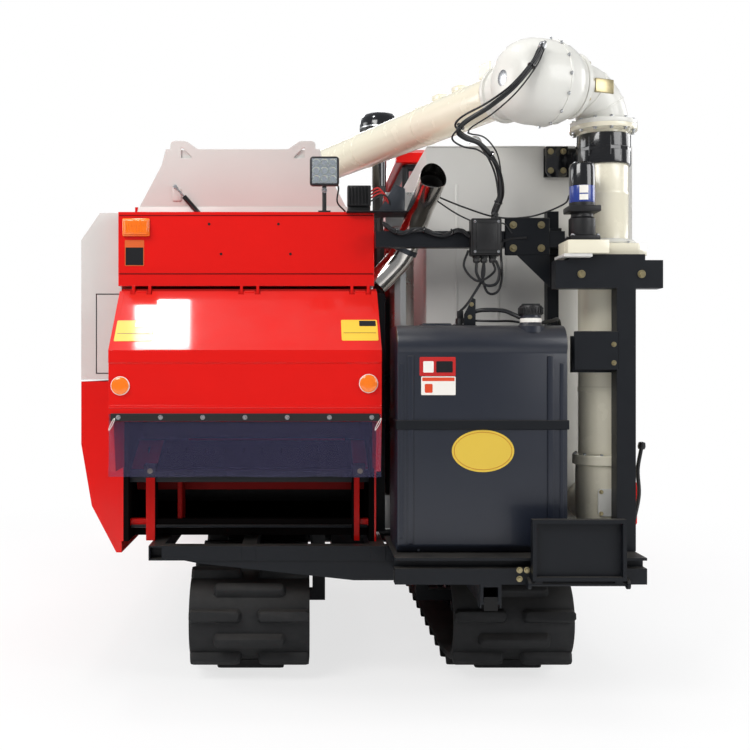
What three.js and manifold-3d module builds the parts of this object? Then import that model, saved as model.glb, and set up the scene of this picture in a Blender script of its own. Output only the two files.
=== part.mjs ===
// Tracked combine harvester: a full-feed rice and wheat combine on rubber tracks, with an
// unloading auger that swings. Millimetres. +X is the machine's right, +Y its front, +Z up.
// The origin is on the ground, under the middle of the overall box.
import * as THREE from 'three';
import { mergeVertices } from 'three/addons/utils/BufferGeometryUtils.js';
import Module from 'manifold-3d';

const wasm = await Module();
wasm.setup();

// ---------------------------------------------------------------- driving dimensions

const fit = 0.3; // gap between two pieces that touch
const running = 6; // gap between two pieces that move past each other
const pinPlay = 0.5; // radial play of a pin in its eye

const overall = { width: 2370, rear: -2650, front: 2650 };
const halfWidth = overall.width / 2;

const track = {
  width: 500, leftX: -460, rightX: 635,
  belt: 30, lug: 35, lugPitch: 100, lugTip: 44, lugRoot: 58,
  idler: { y: -2030, z: 250, r: 185 }, sprocket: { y: 30, z: 300, r: 175 },
  groundRear: -1800, groundFront: -130, groundBend: 120,
};
const trackFrame = {
  beamWidth: 120, beamLow: 150, beamHigh: 260, rollerR: 70, rollerWidth: 220, rollers: 5,
};

const chassis = {
  low: 520, high: 580, tube: 60, rear: -2250, leftFront: 300, rightFront: 700,
  railX: [-840, -460, 70, 635, 1030], crossY: [-1460, -560],
};

const thresher = {
  left: -1000, right: 70, rear: -1750, front: 400, top: 2040, wall: 30,
  outletRear: -2130, outletTop: 1640, panLow: 650,
};
const topCover = { centreX: -510, halfTop: 350, halfBase: 470, rise: 265, shoulderRise: 190, wall: 25 };
const endPlate = {
  thickness: 12, earRise: 302, earWidth: 125, earInset: 20, earHole: 46, holeInset: 69, holeRise: 4,
};
const upperBox = { left: -1010, right: 60, rear: -2150, low: 1651, high: 1961 };

const hood = {
  left: -1000, right: 70, hingeY: -2150, hingeZ: 1628, pinR: 8, wall: 20,
  breakY: -2450, breakZ: 1378, low: 1098, ridgeZ: 1330, ridge: 6,
  knuckleX: [-930, -480, -20], knuckle: 40, pinDrop: 10, pinBack: 12,
};
const curtain = { thickness: 4, low: 882, high: 1145, stripLow: 1100, stripHigh: 1130, strip: 6 };

const leftCover = {
  rear: -2050, front: 390, wall: 25, seam: 1255, gapAtSeam: 8, top: 1971, chamferZ: 1855, chamferX: 80,
  inner: -1012, reach: 173, creaseZ: 984, footZ: 720, footX: -1140, low: 520, lowX: -1035,
};
const hingePost = { x: -1165, y: 420, r: 10, knuckleR: 18 };

const grainTank = {
  left: 296, right: 1184, rear: -2000, front: -450, top: 2263, wall: 25,
  slopeTop: 1350, slopeX: 850, hatch: { left: 480, right: 1040, rear: -1500, front: -950 },
};
const lid = { rim: 25, thickness: 20, hingeR: 8, hingeRise: 14 };
const elevator = { x: 185, y: -1920, r: 65, top: 2050 };

const fuelTank = { left: 125, right: 785, rear: -2500, front: -2160, high: 1475, corner: 45 };
const filler = { x: 655, y: -2435, neckR: 40, neck: 40, capR: 52, cap: 46 };

const carrier = {
  left: 108, right: 1060, rear: -2600, tube: 60, tubeLow: 490, plate: 10,
  armX: [160, 470, 1025], receiverX: 470, receiver: 76,
};
const step = { left: 618, right: 969, high: 741, low: 512, thickness: 40, pinZ: 497, pinR: 7, ear: 12 };

const rightPost = { x: 1026, width: 75, rear: -2450, top: 1722, channelLow: 1620, channelHigh: 1730 };
const leftPost = { x: 815, width: 48, rear: -2120, front: -2060, top: 1968 };
const beam = { rear: -2230, front: -2170, low: 1805, high: 1871 };

const unloader = {
  x: 990, y: -2250, tubeR: 100, bootR: 110, bootHigh: 985, axisRise: 403,
  gearLow: 1753, gearHigh: 1806, gearR: 150, flangeRise: 250, flangeR: 135, flange: 18,
  bellOffset: 337, bellR: 168, boomR: 90, boomLength: 3640, heading: 113.7, bellStart: 168,
};
const motor = { x: 860, y: -2420, r: 50, high: 2115, flangeR: 70 };
// Heights that follow the thresher's: its cover, and the boom that lies over it.
const coverTop = thresher.top + topCover.rise;
const coverShoulder = thresher.top + topCover.shoulderRise;
const earTop = thresher.top + endPlate.earRise;
const boomAxisZ = thresher.top + unloader.axisRise;
const swingFlangeZ = thresher.top + unloader.flangeRise;
const spout = { length: 260, drop: 340, r: 115 };
const clampBand = { low: 2160, high: 2240, plate: 14 };

const engine = { left: 450, right: 1050, rear: -350, front: 350, high: 1120 };
const engineCover = { left: 400, right: 1075, rear: -430, front: 420, high: 1200, wall: 22 };
const radiatorDoor = { thickness: 75, low: 640, pinR: 9 };
const platform = { left: 110, right: 1175, rear: 430, front: 1150, high: 950, thickness: 30 };
const seat = { x: 760, width: 470, rear: -160, depth: 450, cushion: 90, backHigh: 1780, back: 90 };
const consoleBox = { left: 360, right: 1000, rear: 960, front: 1088, high: 1520, sideWidth: 200 };
const canopy = { left: 300, right: 1160, rear: -440, front: 1190, low: 2490, high: 2580, post: 40 };
const precleaner = { x: 200, y: -500, pipeR: 38, domeR: 110, high: 2760 };

const pivot = { y: 565, z: 1250, drumR: 150, pinR: 20 };
const feeder = { left: -750, right: -170, front: 1500, topZ: 720, lowZ: 250, wall: 25 };
const header = {
  backY: 1500, wall: 30, floorLow: 100, floorHigh: 130, backTop: 760, floorFront: 2290, earTop: 930,
  sheet: 30, auger: { y: 1880, z: 420, core: 140, r: 258, pitch: 400 },
};
const cutter = { front: 2400, pitch: 76.2, low: 106, high: 126 };
const reel = { y: 2230, z: 1000, r: 400, endGap: 89, bats: 5, tubeR: 30, batR: 18 };
const reelArm = { y: 1515, z: 870, inset: 60, width: 24, tubeR: 25, pinR: 12 };
const reelArmX = halfWidth - reelArm.inset;
const ram = {
  x: -300, baseY: 345, baseZ: 500, eyeY: 1150, eyeZ: 440, barrelR: 38, rodR: 20, pinR: 14, lug: 16,
  eyeSlack: 13, // room in the rod's eye, because the open end of the linkage drifts
};

const rest = { y: 100, depth: 50 };
const lamp = { x: -148, y: -2135, z: 2128, size: 122, depth: 42 };
const exhaust = {
  r: 48, bore: 43,
  points: [
    [110, -2055, 1692], [184, -2062, 1760], [218, -2090, 1870], [250, -2190, 1968], [268, -2300, 2018],
    [280, -2400, 2060],
  ],
};
const cable = {
  r: 11, clipR: 5, armR: 190, armReach: 243,
  points: [
    [674, -2553, 2535], [640, -2580, 2470], [560, -2592, 2372], [470, -2575, 2300], [385, -2530, 2252],
    [362, -2495, 2222], [395, -2465, 2203], [452, -2440, 2188], [512, -2395, 2140], [548, -2340, 2085],
    [560, -2300, 2010], [545, -2263, 1945], [545, -2263, 1930], [545, -2263, 1915.4],
  ],
};

const sides = 16; // facets of a full circle
const loopFacets = 24; // facets of a wheel that a track runs round

// ---------------------------------------------------------------- materials

const paint = (color, roughness, metalness) =>
  new THREE.MeshStandardMaterial({ color, roughness, metalness });
const redPaint = () => paint(0xe81a0e, 0.32, 0.0);
const greyPaint = () => paint(0xd7d5d0, 0.45, 0.0);
const creamPaint = () => paint(0xece8dc, 0.4, 0.0);
const framePaint = () => paint(0x262b30, 0.5, 0.0);
const tankPaint = () => paint(0x2d323e, 0.4, 0.0);
const bareSteel = () => paint(0xb4b2ac, 0.3, 1.0);
const blackRubber = () => paint(0x1b1b1c, 0.85, 0.0);
const blackPlastic = () => paint(0x141416, 0.5, 0.0);
const clearSheet = () => paint(0x8f9ab4, 0.2, 0.0);
const ironBlock = () => paint(0x3c4044, 0.6, 0.4);

// ---------------------------------------------------------------- solids

const vec = (x, y, z) => new THREE.Vector3(x, y, z);

function solidOf(geometry) {
  const plain = geometry.clone();
  plain.deleteAttribute('normal');
  plain.deleteAttribute('uv');
  const merged = mergeVertices(plain, 1e-3);
  const triVerts = Uint32Array.from(merged.index.array);
  const vertProperties = Float32Array.from(merged.attributes.position.array);
  return new wasm.Manifold(new wasm.Mesh({ numProp: 3, vertProperties, triVerts }));
}

const join = (...solids) => solids.flat().reduce((whole, next) => whole.add(next));
const cut = (solid, ...tools) => tools.flat().reduce((rest, tool) => rest.subtract(tool), solid);

function box([x0, x1], [y0, y1], [z0, z1]) {
  const geometry = new THREE.BoxGeometry(x1 - x0, y1 - y0, z1 - z0);
  return solidOf(geometry.translate((x0 + x1) / 2, (y0 + y1) / 2, (z0 + z1) / 2));
}

// A round bar or tube stub between two points.
function bar(from, to, radius, facets = sides) {
  const along = to.clone().sub(from);
  const turn = new THREE.Quaternion().setFromUnitVectors(vec(0, 1, 0), along.clone().normalize());
  const geometry = new THREE.CylinderGeometry(radius, radius, along.length(), facets);
  const middle = from.clone().add(to).multiplyScalar(0.5);
  return solidOf(geometry.applyQuaternion(turn).translate(middle.x, middle.y, middle.z));
}

// An eye's radius, so that the flats of its facets clear a pin of the given radius.
const eyeRadius = (pinRadius) => (pinRadius + pinPlay) / Math.cos(Math.PI / sides);

// An outline extruded along an axis. Its points are [y, z] along x, [x, z] along y, [x, y] along z.
function slab(axis, outline, [from, to], holes = []) {
  const shape = new THREE.Shape(outline.map(([a, b]) => new THREE.Vector2(a, b)));
  shape.holes = holes.map((hole) => new THREE.Path(hole.map(([a, b]) => new THREE.Vector2(a, b))));
  const geometry = new THREE.ExtrudeGeometry(shape, { depth: to - from, bevelEnabled: false });
  const frames = {
    x: [vec(0, 1, 0), vec(0, 0, 1), vec(1, 0, 0), vec(from, 0, 0)],
    y: [vec(1, 0, 0), vec(0, 0, 1), vec(0, -1, 0), vec(0, to, 0)],
    z: [vec(1, 0, 0), vec(0, 1, 0), vec(0, 0, 1), vec(0, 0, from)],
  };
  const [right, up, out, place] = frames[axis];
  return solidOf(geometry.applyMatrix4(new THREE.Matrix4().makeBasis(right, up, out).setPosition(place)));
}

// A profile of [radius, distance] points revolved about a line that starts at base.
function revolve(profile, base, direction, facets = sides) {
  const points = profile.map(([radius, distance]) => new THREE.Vector2(radius, distance));
  const turn = new THREE.Quaternion().setFromUnitVectors(vec(0, 1, 0), direction.clone().normalize());
  const geometry = new THREE.LatheGeometry(points, facets).applyQuaternion(turn);
  const solid = solidOf(geometry.translate(base.x, base.y, base.z));
  return solid.volume() < 0 ? solidOf(flipped(geometry)) : solid;
}

function flipped(geometry) {
  const index = geometry.index.array;
  for (let i = 0; i < index.length; i += 3) [index[i], index[i + 1]] = [index[i + 1], index[i]];
  return geometry;
}

// A round tube swept along a smooth curve through the points.
function hose(points, radius, steps, facets = 12) {
  const path = new THREE.CatmullRomCurve3(points, false, 'centripetal');
  const circle = new THREE.Shape().absarc(0, 0, radius, 0, Math.PI * 2);
  const settings = { steps, bevelEnabled: false, extrudePath: path, curveSegments: facets / 2 };
  return solidOf(new THREE.ExtrudeGeometry(circle, settings));
}

const circlePoints = (a, b, radius, count) => Array.from({ length: count }, (_, i) => {
  const angle = (i / count) * Math.PI * 2;
  return [a + radius * Math.cos(angle), b + radius * Math.sin(angle)];
});

// The outline of a band stretched round circles given as [a, b, radius], anticlockwise.
function bandRound(circles, count = loopFacets) {
  const points = circles.flatMap(([a, b, r]) => (r > 0 ? circlePoints(a, b, r, count) : [[a, b]]));
  points.sort((p, q) => p[0] - q[0] || p[1] - q[1]);
  const turnsLeft = (o, p, q) => (p[0] - o[0]) * (q[1] - o[1]) - (p[1] - o[1]) * (q[0] - o[0]) > 1e-6;
  const chain = (list) => list.reduce((hull, point) => {
    while (hull.length > 1 && !turnsLeft(hull.at(-2), hull.at(-1), point)) hull.pop();
    return [...hull, point];
  }, []);
  return [...chain(points).slice(0, -1), ...chain([...points].reverse()).slice(0, -1)];
}

// Points and outward normals at a distance along a closed anticlockwise outline.
function loopWalker(outline) {
  const spans = outline.map((point, i) => {
    const next = outline[(i + 1) % outline.length];
    const run = [next[0] - point[0], next[1] - point[1]];
    const length = Math.hypot(...run);
    return { point, length, unit: [run[0] / length, run[1] / length] };
  });
  const total = spans.reduce((sum, span) => sum + span.length, 0);
  const at = (distance, out) => {
    let left = ((distance % total) + total) % total;
    const span = spans.find((candidate) => {
      if (left <= candidate.length) return true;
      left -= candidate.length;
      return false;
    }) ?? spans[0];
    const [dx, dy] = span.unit;
    return [span.point[0] + dx * left + dy * out, span.point[1] + dy * left - dx * out];
  };
  return { total, at };
}

// ---------------------------------------------------------------- scene graph

const harvester = new THREE.Group();
harvester.name = 'combine_harvester';

function node(name, material, solid, parent = harvester) {
  const { vertProperties, triVerts } = solid.getMesh();
  const geometry = new THREE.BufferGeometry();
  geometry.setAttribute('position', new THREE.BufferAttribute(vertProperties, 3));
  geometry.setIndex(new THREE.BufferAttribute(triVerts, 1));
  const mesh = new THREE.Mesh(geometry, material);
  mesh.name = name;
  parent.add(mesh);
  return mesh;
}

// ---------------------------------------------------------------- undercarriage

function trackCircles(inset) {
  const { idler, sprocket, groundRear, groundFront, groundBend, lug } = track;
  return [
    [idler.y, idler.z, idler.r - inset],
    [groundRear, lug + groundBend, groundBend - inset],
    [groundFront, lug + groundBend, groundBend - inset],
    [sprocket.y, sprocket.z, sprocket.r - inset],
  ];
}

function trackLoop() {
  const { at, total } = loopWalker(bandRound(trackCircles(0)));
  const count = Math.round(total / track.lugPitch);
  const outline = Array.from({ length: count }, (_, i) => {
    const middle = (i / count) * total;
    return [
      at(middle - track.lugRoot / 2, 0), at(middle - track.lugTip / 2, track.lug),
      at(middle + track.lugTip / 2, track.lug), at(middle + track.lugRoot / 2, 0),
    ];
  }).flat().map(([y, z]) => [y, Math.max(z, 0)]);
  const half = track.width / 2;
  return slab('x', outline, [-half, half], [bandRound(trackCircles(track.belt), loopFacets)]);
}

// Beam, rollers and rear idler of one track, with the arms that reach to the chassis.
function trackFrameSolid(inward) {
  const { beamWidth, beamLow, beamHigh, rollerR, rollerWidth, rollers } = trackFrame;
  const { idler, groundRear, groundFront, lug, belt, width } = track;
  const idlerR = (idler.r - belt) * Math.cos(Math.PI / loopFacets) - fit;
  const rollerZ = lug + belt + rollerR + fit;
  const beamBar = box([-beamWidth / 2, beamWidth / 2], [idler.y - 30, groundFront], [beamLow, beamHigh]);
  const rollerBars = Array.from({ length: rollers }, (_, i) => {
    const y = groundRear + ((groundFront - groundRear) * (i + 0.5)) / rollers;
    return bar(vec(-rollerWidth / 2, y, rollerZ), vec(rollerWidth / 2, y, rollerZ), rollerR);
  });
  const idlerWheel = bar(vec(-45, idler.y, idler.z), vec(45, idler.y, idler.z), idlerR, 32);
  const reach = inward * (width / 2 + 20);
  const armEnd = reach + inward * chassis.tube;
  const arms = chassis.crossY.map((y) => join(
    box([Math.min(0, armEnd), Math.max(0, armEnd)], [y - 30, y + 30], [200, 250]),
    box([Math.min(reach, armEnd), Math.max(reach, armEnd)], [y - 30, y + 30], [200, chassis.low - fit]),
  ));
  return join(beamBar, rollerBars, idlerWheel, arms);
}

function sprocketSolid(inward) {
  const { sprocket, belt, width } = track;
  const rim = sprocket.r - belt - 4;
  const teeth = 10;
  const outline = Array.from({ length: teeth * 2 }, (_, i) => {
    const radius = i % 2 ? rim : rim - 28;
    const spread = i % 2 ? 0.32 : 0.3;
    return [-1, 1].map((side) => {
      const angle = ((i + side * spread) / (teeth * 2)) * Math.PI * 2;
      return [sprocket.y + radius * Math.cos(angle), sprocket.z + radius * Math.sin(angle)];
    });
  }).flat();
  const hubEnd = inward * (width / 2 + 5 - fit);
  const hub = bar(vec(-inward * 60, sprocket.y, sprocket.z), vec(hubEnd, sprocket.y, sprocket.z), 55);
  return join(slab('x', outline, [-28, 28]), hub);
}

function addUndercarriage() {
  for (const [side, x, inward] of [['left', track.leftX, 1], ['right', track.rightX, -1]]) {
    const group = new THREE.Group();
    group.position.x = x;
    harvester.add(group);
    node(`track_${side}`, blackRubber(), trackLoop(), group);
    node(`track_frame_${side}`, framePaint(), trackFrameSolid(inward), group);
    node(`drive_sprocket_${side}`, framePaint(), sprocketSolid(inward), group);
  }
  node('travel_gearbox', framePaint(), travelGearbox());
}

function travelGearbox() {
  const { y, z } = track.sprocket;
  const reach = track.width / 2 + 5;
  const shaft = bar(vec(track.leftX + reach, y, z), vec(track.rightX - reach, y, z), 60);
  const housing = box([-60, 235], [y - 150, y + 150], [210, chassis.low - fit]);
  return join(shaft, housing);
}

function chassisFrame() {
  const { low, high, tube, rear, leftFront, rightFront, railX, crossY } = chassis;
  const left = railX[0] - tube / 2;
  const right = railX.at(-1) + tube / 2;
  const stepX = railX[2] - tube / 2;
  const deck = slab('z', [
    [left, rear], [right, rear], [right, rightFront], [stepX, rightFront], [stepX, leftFront],
    [left, leftFront],
  ], [low, high]);
  const crossLines = [rear + tube / 2, ...crossY, leftFront - tube / 2, rightFront - tube / 2];
  const cells = railX.slice(0, -1).flatMap((x, i) => crossLines.slice(0, -1).map((y, k) => box(
    [x + tube / 2, railX[i + 1] - tube / 2],
    [y + tube / 2, crossLines[k + 1] - tube / 2],
    [low - 1, high + 1],
  )));
  const rearPlate = slab('y', [
    [left + 120, low + 4], [left + 200, low - 12], [railX[2] - 100, low - 82], [railX[2] + 60, low - 82],
    [railX[2] + 180, low - 52], [railX[3], low - 44], [railX[3], low + 4],
  ], [rear + 8, rear + 20]);
  const ramEars = [-1, 1].map((side) => {
    const middle = ram.x + side * (ram.barrelR + 12);
    const outline = [
      [leftFront - 5, low + 5], [leftFront - 5, ram.baseZ - 25], [ram.baseY + 25, ram.baseZ - 25],
      [ram.baseY + 25, ram.baseZ + 30], [leftFront + 20, high - 8], [leftFront - 5, high - 8],
    ];
    return slab('x', outline, [middle - 8, middle + 8]);
  });
  const ramEye = bar(vec(ram.x - 100, ram.baseY, ram.baseZ), vec(ram.x + 100, ram.baseY, ram.baseZ),
    eyeRadius(ram.pinR));
  const mouths = railX.map((x) => box(
    [x - tube / 2 + 6, x + tube / 2 - 6], [rear - 1, rear + tube - 8], [low + 6, high - 6],
  ));
  return cut(join(cut(deck, cells), rearPlate, ramEars), ramEye, mouths);
}

// ---------------------------------------------------------------- thresher

function thresherBody() {
  const { left, right, rear, front, top, wall, outletRear, outletTop, panLow } = thresher;
  const low = chassis.high + fit;
  const side = [
    [outletRear, low], [front, low], [front, top], [rear, top], [rear, outletTop], [outletRear, outletTop],
  ];
  const shell = slab('x', side, [left, right]);
  const inside = join(
    box([left + wall, right - wall], [outletRear - 1, front - wall], [panLow, outletTop - wall]),
    box([left + wall, right - wall], [rear + wall, front - wall], [panLow, top - wall]),
    box([left + wall, right - wall], [outletRear - 1, rear - 200], [low - 1, outletTop - wall]),
  );
  const throat = box(
    [feeder.left + feeder.wall, feeder.right - feeder.wall], [front - wall - 1, front + 1],
    [pivot.z - 110, pivot.z + 110],
  );
  return join(cut(shell, inside, throat), pivotEars(), hingeBrackets());
}

// Two plates on the front wall that carry the feeder house's pins.
function pivotEars() {
  const { y, z, pinR } = pivot;
  const outline = bandRound([
    [y, z, 70], [thresher.front - 1, z + 160, 0], [thresher.front - 1, z - 160, 0],
  ]);
  const eye = circlePoints(y, z, eyeRadius(pinR), sides);
  return [
    [feeder.left - running - 25, feeder.left - running],
    [feeder.right + running, feeder.right + running + 25],
  ].map((span) => slab('x', outline, span, [eye]));
}

// Brackets and the post that carry the hinges of the two left covers.
function hingeBrackets() {
  const { x, y, r } = hingePost;
  const heights = [leftCover.low + 80, leftCover.seam - 40, leftCover.seam + 20, leftCover.chamferZ - 20];
  const levels = [heights[0] - 30, leftCover.seam, leftCover.top - 40];
  const arms = levels.map((z) => box([x, thresher.left + 1], [y - 8, y + 8], [z - 9, z + 9]));
  const foot = levels.map((z) => box(
    [thresher.left - 9, thresher.left + 30], [thresher.front - 30, y + 12], [z - 20, z + 20],
  ));
  return join(arms, foot, bar(vec(x, y, levels[0] - 12), vec(x, y, levels[2] + 12), r));
}

function thresherTopCover() {
  const { centreX, halfTop, halfBase, wall } = topCover;
  const base = thresher.top + fit;
  const from = thresher.rear + endPlate.thickness + fit;
  const outline = (inset) => [
    [centreX - halfBase + inset, base - (inset ? 1 : 0)],
    [centreX + halfBase - inset, base - (inset ? 1 : 0)],
    [centreX + halfTop + 20 - inset, coverShoulder - inset], [centreX + halfTop - inset, coverTop - inset],
    [centreX - halfTop + inset, coverTop - inset], [centreX - halfTop - 20 + inset, coverShoulder - inset],
  ];
  const shell = slab('y', outline(0), [from, thresher.front - 60]);
  return cut(shell, slab('y', outline(wall), [from + wall, thresher.front - 60 - wall]));
}

function thresherEndPlate() {
  const { centreX, halfTop, halfBase } = topCover;
  const { thickness, earWidth, earInset, earHole, holeInset, holeRise } = endPlate;
  const ear = (side) => {
    const outer = centreX + side * (halfTop - earInset);
    const inner = outer - side * earWidth;
    const rise = earTop - coverTop;
    return [
      [outer, coverTop], [outer, earTop - 16], [outer - side * 5, earTop - 5], [outer - side * 16, earTop],
      [inner + side * (rise + 26), earTop], [inner + side * (rise + 10), earTop - 4], [inner, coverTop],
    ];
  };
  const outline = [
    [centreX - halfBase, thresher.top + fit], [centreX + halfBase, thresher.top + fit],
    [centreX + halfTop + 20, coverShoulder],
    [centreX + halfTop, coverTop], ...ear(1), ...ear(-1).reverse(), [centreX - halfTop, coverTop],
    [centreX - halfTop - 20, coverShoulder],
  ];
  const holes = [-1, 1].map((side) => {
    const outer = centreX + side * (halfTop - holeInset);
    const low = coverTop + holeRise - earHole;
    return [
      [outer, low], [outer - side * earHole, low], [outer - side * earHole, low + 8],
      [outer - side * 8, low + earHole], [outer, low + earHole],
    ];
  });
  const plate = slab('y', outline, [thresher.rear, thresher.rear + thickness]);
  const through = [thresher.rear - 1, thresher.rear + thickness + 1];
  return cut(plate, holes.map((hole) => slab('y', hole, through)));
}

// The closed box over the chaff outlet, with the ears and pins that the rear hood hangs on.
function rearUpperBox() {
  const { left, right, rear, low, high } = upperBox;
  const { y, z } = hoodAxis();
  const ears = hoodEarSpans().map((span) => box(span, [y - 9, rear + 14], [z - 12, low + 1]));
  const pins = hood.knuckleX.map((x) => bar(vec(x - 20, y, z), vec(x + hood.knuckle + 20, y, z), hood.pinR));
  return join(box([left, right], [rear, thresher.rear - fit], [low, high]), ears, pins);
}

const hoodAxis = () => ({ y: hood.hingeY - hood.pinBack, z: hood.hingeZ - hood.pinDrop });

// One ear beside each end of each knuckle.
const hoodEarSpans = () => hood.knuckleX.flatMap((x) => [
  [x - 20, x - 8], [x + hood.knuckle + 8, x + hood.knuckle + 20],
]);

// The plates, uprights and crossbars that frame the chaff outlet.
function sieveOutletFrame() {
  const low = chassis.high + fit;
  const left = thresher.left + thresher.wall + fit;
  const right = thresher.right - thresher.wall - fit;
  const y = thresher.outletRear + 20;
  const upright = (x, width) => box([x, x + width], [y, y + 90], [low, 900]);
  const crossbar = box([left, right], [y + 20, y + 60], [835, 872]);
  const lowBar = box([left, right], [y + 20, y + 60], [640, 670]);
  const slope = slab('x', [[y + 60, 860], [y + 300, 960], [y + 300, 985], [y + 60, 885]], [left, right]);
  return join(upright(left + 70, 40), upright(right - 70, 32), crossbar, lowBar, slope);
}

// ---------------------------------------------------------------- hood and covers

function rearHoodParts() {
  const { left, right, hingeY, hingeZ, wall, breakY, breakZ, low, ridgeZ, ridge, pinR } = hood;
  const skin = [
    [hingeY - 22, hingeZ], [breakY, breakZ], [breakY, ridgeZ], [breakY + ridge, ridgeZ - ridge],
    [breakY + ridge, low], [breakY + ridge + wall, low], [breakY + ridge + wall, breakZ + 8],
    [hingeY - 22, hingeZ - wall - 8],
  ];
  const cheek = [
    [hingeY - 26, hingeZ - 2], [breakY + 1, breakZ], [breakY + 1, ridgeZ],
    [breakY + ridge + 1, ridgeZ - ridge],
    [breakY + ridge + 1, low], [breakY + 60, low - 200], [hingeY - 30, low - 200],
  ];
  const cheeks = [[left, left + wall], [right - wall, right]].map((span) => slab('x', cheek, span));
  const axis = hoodAxis();
  const knuckles = hood.knuckleX.map((x) => join(
    bar(vec(x, axis.y, axis.z), vec(x + hood.knuckle, axis.y, axis.z), pinR + 5),
    box([x, x + hood.knuckle], [axis.y - 20, axis.y - 5], [axis.z - 14, axis.z + 6]),
  ));
  const pin = bar(vec(left, axis.y, axis.z), vec(right, axis.y, axis.z), eyeRadius(pinR));
  const notches = hoodEarSpans().map(([from, to]) => box(
    [from - running, to + running], [axis.y - 26, axis.y + 30], [axis.z - 40, axis.z + 40],
  ));
  return cut(join(cut(join(slab('x', skin, [left, right]), cheeks), notches), knuckles), pin);
}

function curtainSheet() {
  const y = hood.breakY + hood.ridge;
  const { thickness, low, high } = curtain;
  return box([hood.left + 2, hood.right - 2], [y - fit - thickness, y - fit], [low, high]);
}

function curtainStrip() {
  const y = hood.breakY + hood.ridge - fit * 2 - curtain.thickness;
  const { strip, stripLow, stripHigh } = curtain;
  return box([hood.left + 10, hood.right - 10], [y - strip, y], [stripLow, stripHigh]);
}

// One side cover: outer skin, rear and front flanges, and knuckles round the hinge post.
function sideCover(outline, low, high, knuckleZ) {
  const { rear, front, wall, inner } = leftCover;
  const skin = slab('y', outline, [rear, front]);
  const hollow = slab('y', outline.map(([x, z]) => [x + wall, z]), [rear + wall, front - wall]);
  const beyond = box([inner, 0], [rear - 1, front + 1], [low - 1, high + 1]);
  const knuckles = knuckleZ.map((z) => join(
    bar(vec(hingePost.x, hingePost.y, z), vec(hingePost.x, hingePost.y, z + 40), hingePost.knuckleR),
    box([hingePost.x - 12, hingePost.x + 12], [front - wall, hingePost.y - 8], [z, z + 40]),
  ));
  const post = bar(
    vec(hingePost.x, hingePost.y, low - 50), vec(hingePost.x, hingePost.y, high + 50),
    eyeRadius(hingePost.r),
  );
  return cut(join(cut(skin, hollow, beyond), knuckles), post);
}

function leftUpperCover() {
  const { seam, gapAtSeam, top, chamferZ, chamferX, inner, reach } = leftCover;
  const outer = inner - reach;
  const low = seam + gapAtSeam / 2;
  const outline = [
    [outer, low], [inner, low], [inner, top], [outer + chamferX, top], [outer, chamferZ],
  ];
  return sideCover(outline, low, top, [seam + 30, chamferZ - 100]);
}

function leftLowerCover() {
  const { seam, gapAtSeam, creaseZ, footZ, footX, low, lowX, inner, reach } = leftCover;
  const outer = inner - reach;
  const high = seam - gapAtSeam / 2;
  const outline = [
    [outer, creaseZ], [footX, footZ], [lowX, low], [inner, low], [inner, high], [outer, high],
  ];
  return sideCover(outline, low, high, [creaseZ - 40, seam - 80]);
}

// ---------------------------------------------------------------- grain tank

function grainTankBody() {
  const { left, right, rear, front, top, wall, slopeTop, slopeX, hatch } = grainTank;
  const low = chassis.high + fit;
  const outline = (inset) => [
    [slopeX + inset, low + inset], [right - inset, low + inset], [right - inset, top - inset],
    [left + inset, top - inset], [left + inset, slopeTop + inset / 2],
  ];
  const shell = slab('y', outline(0), [rear, front]);
  const inside = slab('y', outline(wall), [rear + wall, front - wall]);
  const opening = box([hatch.left, hatch.right], [hatch.rear, hatch.front], [top - wall - 1, top + 1]);
  const ears = [hatch.rear + 80, hatch.front - 110].map((y) => cut(
    box([hatch.right + 45, hatch.right + 75], [y - 32, y - 2], [top - 1, top + lid.hingeRise + 12]),
    lidPin(eyeRadius(lid.hingeR)),
  ));
  return join(cut(shell, inside, opening), ears);
}

function lidPin(radius) {
  const { hatch, top } = grainTank;
  const x = hatch.right + 60;
  const z = top + lid.hingeRise;
  return bar(vec(x, hatch.rear + 30, z), vec(x, hatch.front - 60, z), radius);
}

function tankLid() {
  const { hatch, top } = grainTank;
  const low = top + fit;
  const plate = box(
    [hatch.left - lid.rim, hatch.right + lid.rim], [hatch.rear - lid.rim, hatch.front + lid.rim],
    [low, low + lid.thickness],
  );
  const straps = [hatch.rear + 80, hatch.front - 110].map((y) => box(
    [hatch.right, hatch.right + 60], [y, y + 30], [low + 4, low + lid.thickness],
  ));
  return join(plate, straps, lidPin(lid.hingeR));
}

function grainElevator() {
  const { x, y, r, top } = elevator;
  const low = thresher.panLow;
  const tube = bar(vec(x, y, low), vec(x, y, top), r);
  const bootBox = box([thresher.right + fit, x + r], [y - r, y + r], [low - 40, low + 110]);
  const head = box([x - r, grainTank.left - fit], [y - r, y + r], [top - 130, top + 20]);
  return join(tube, bootBox, head);
}

// ---------------------------------------------------------------- rear carrier, fuel tank, posts

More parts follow.
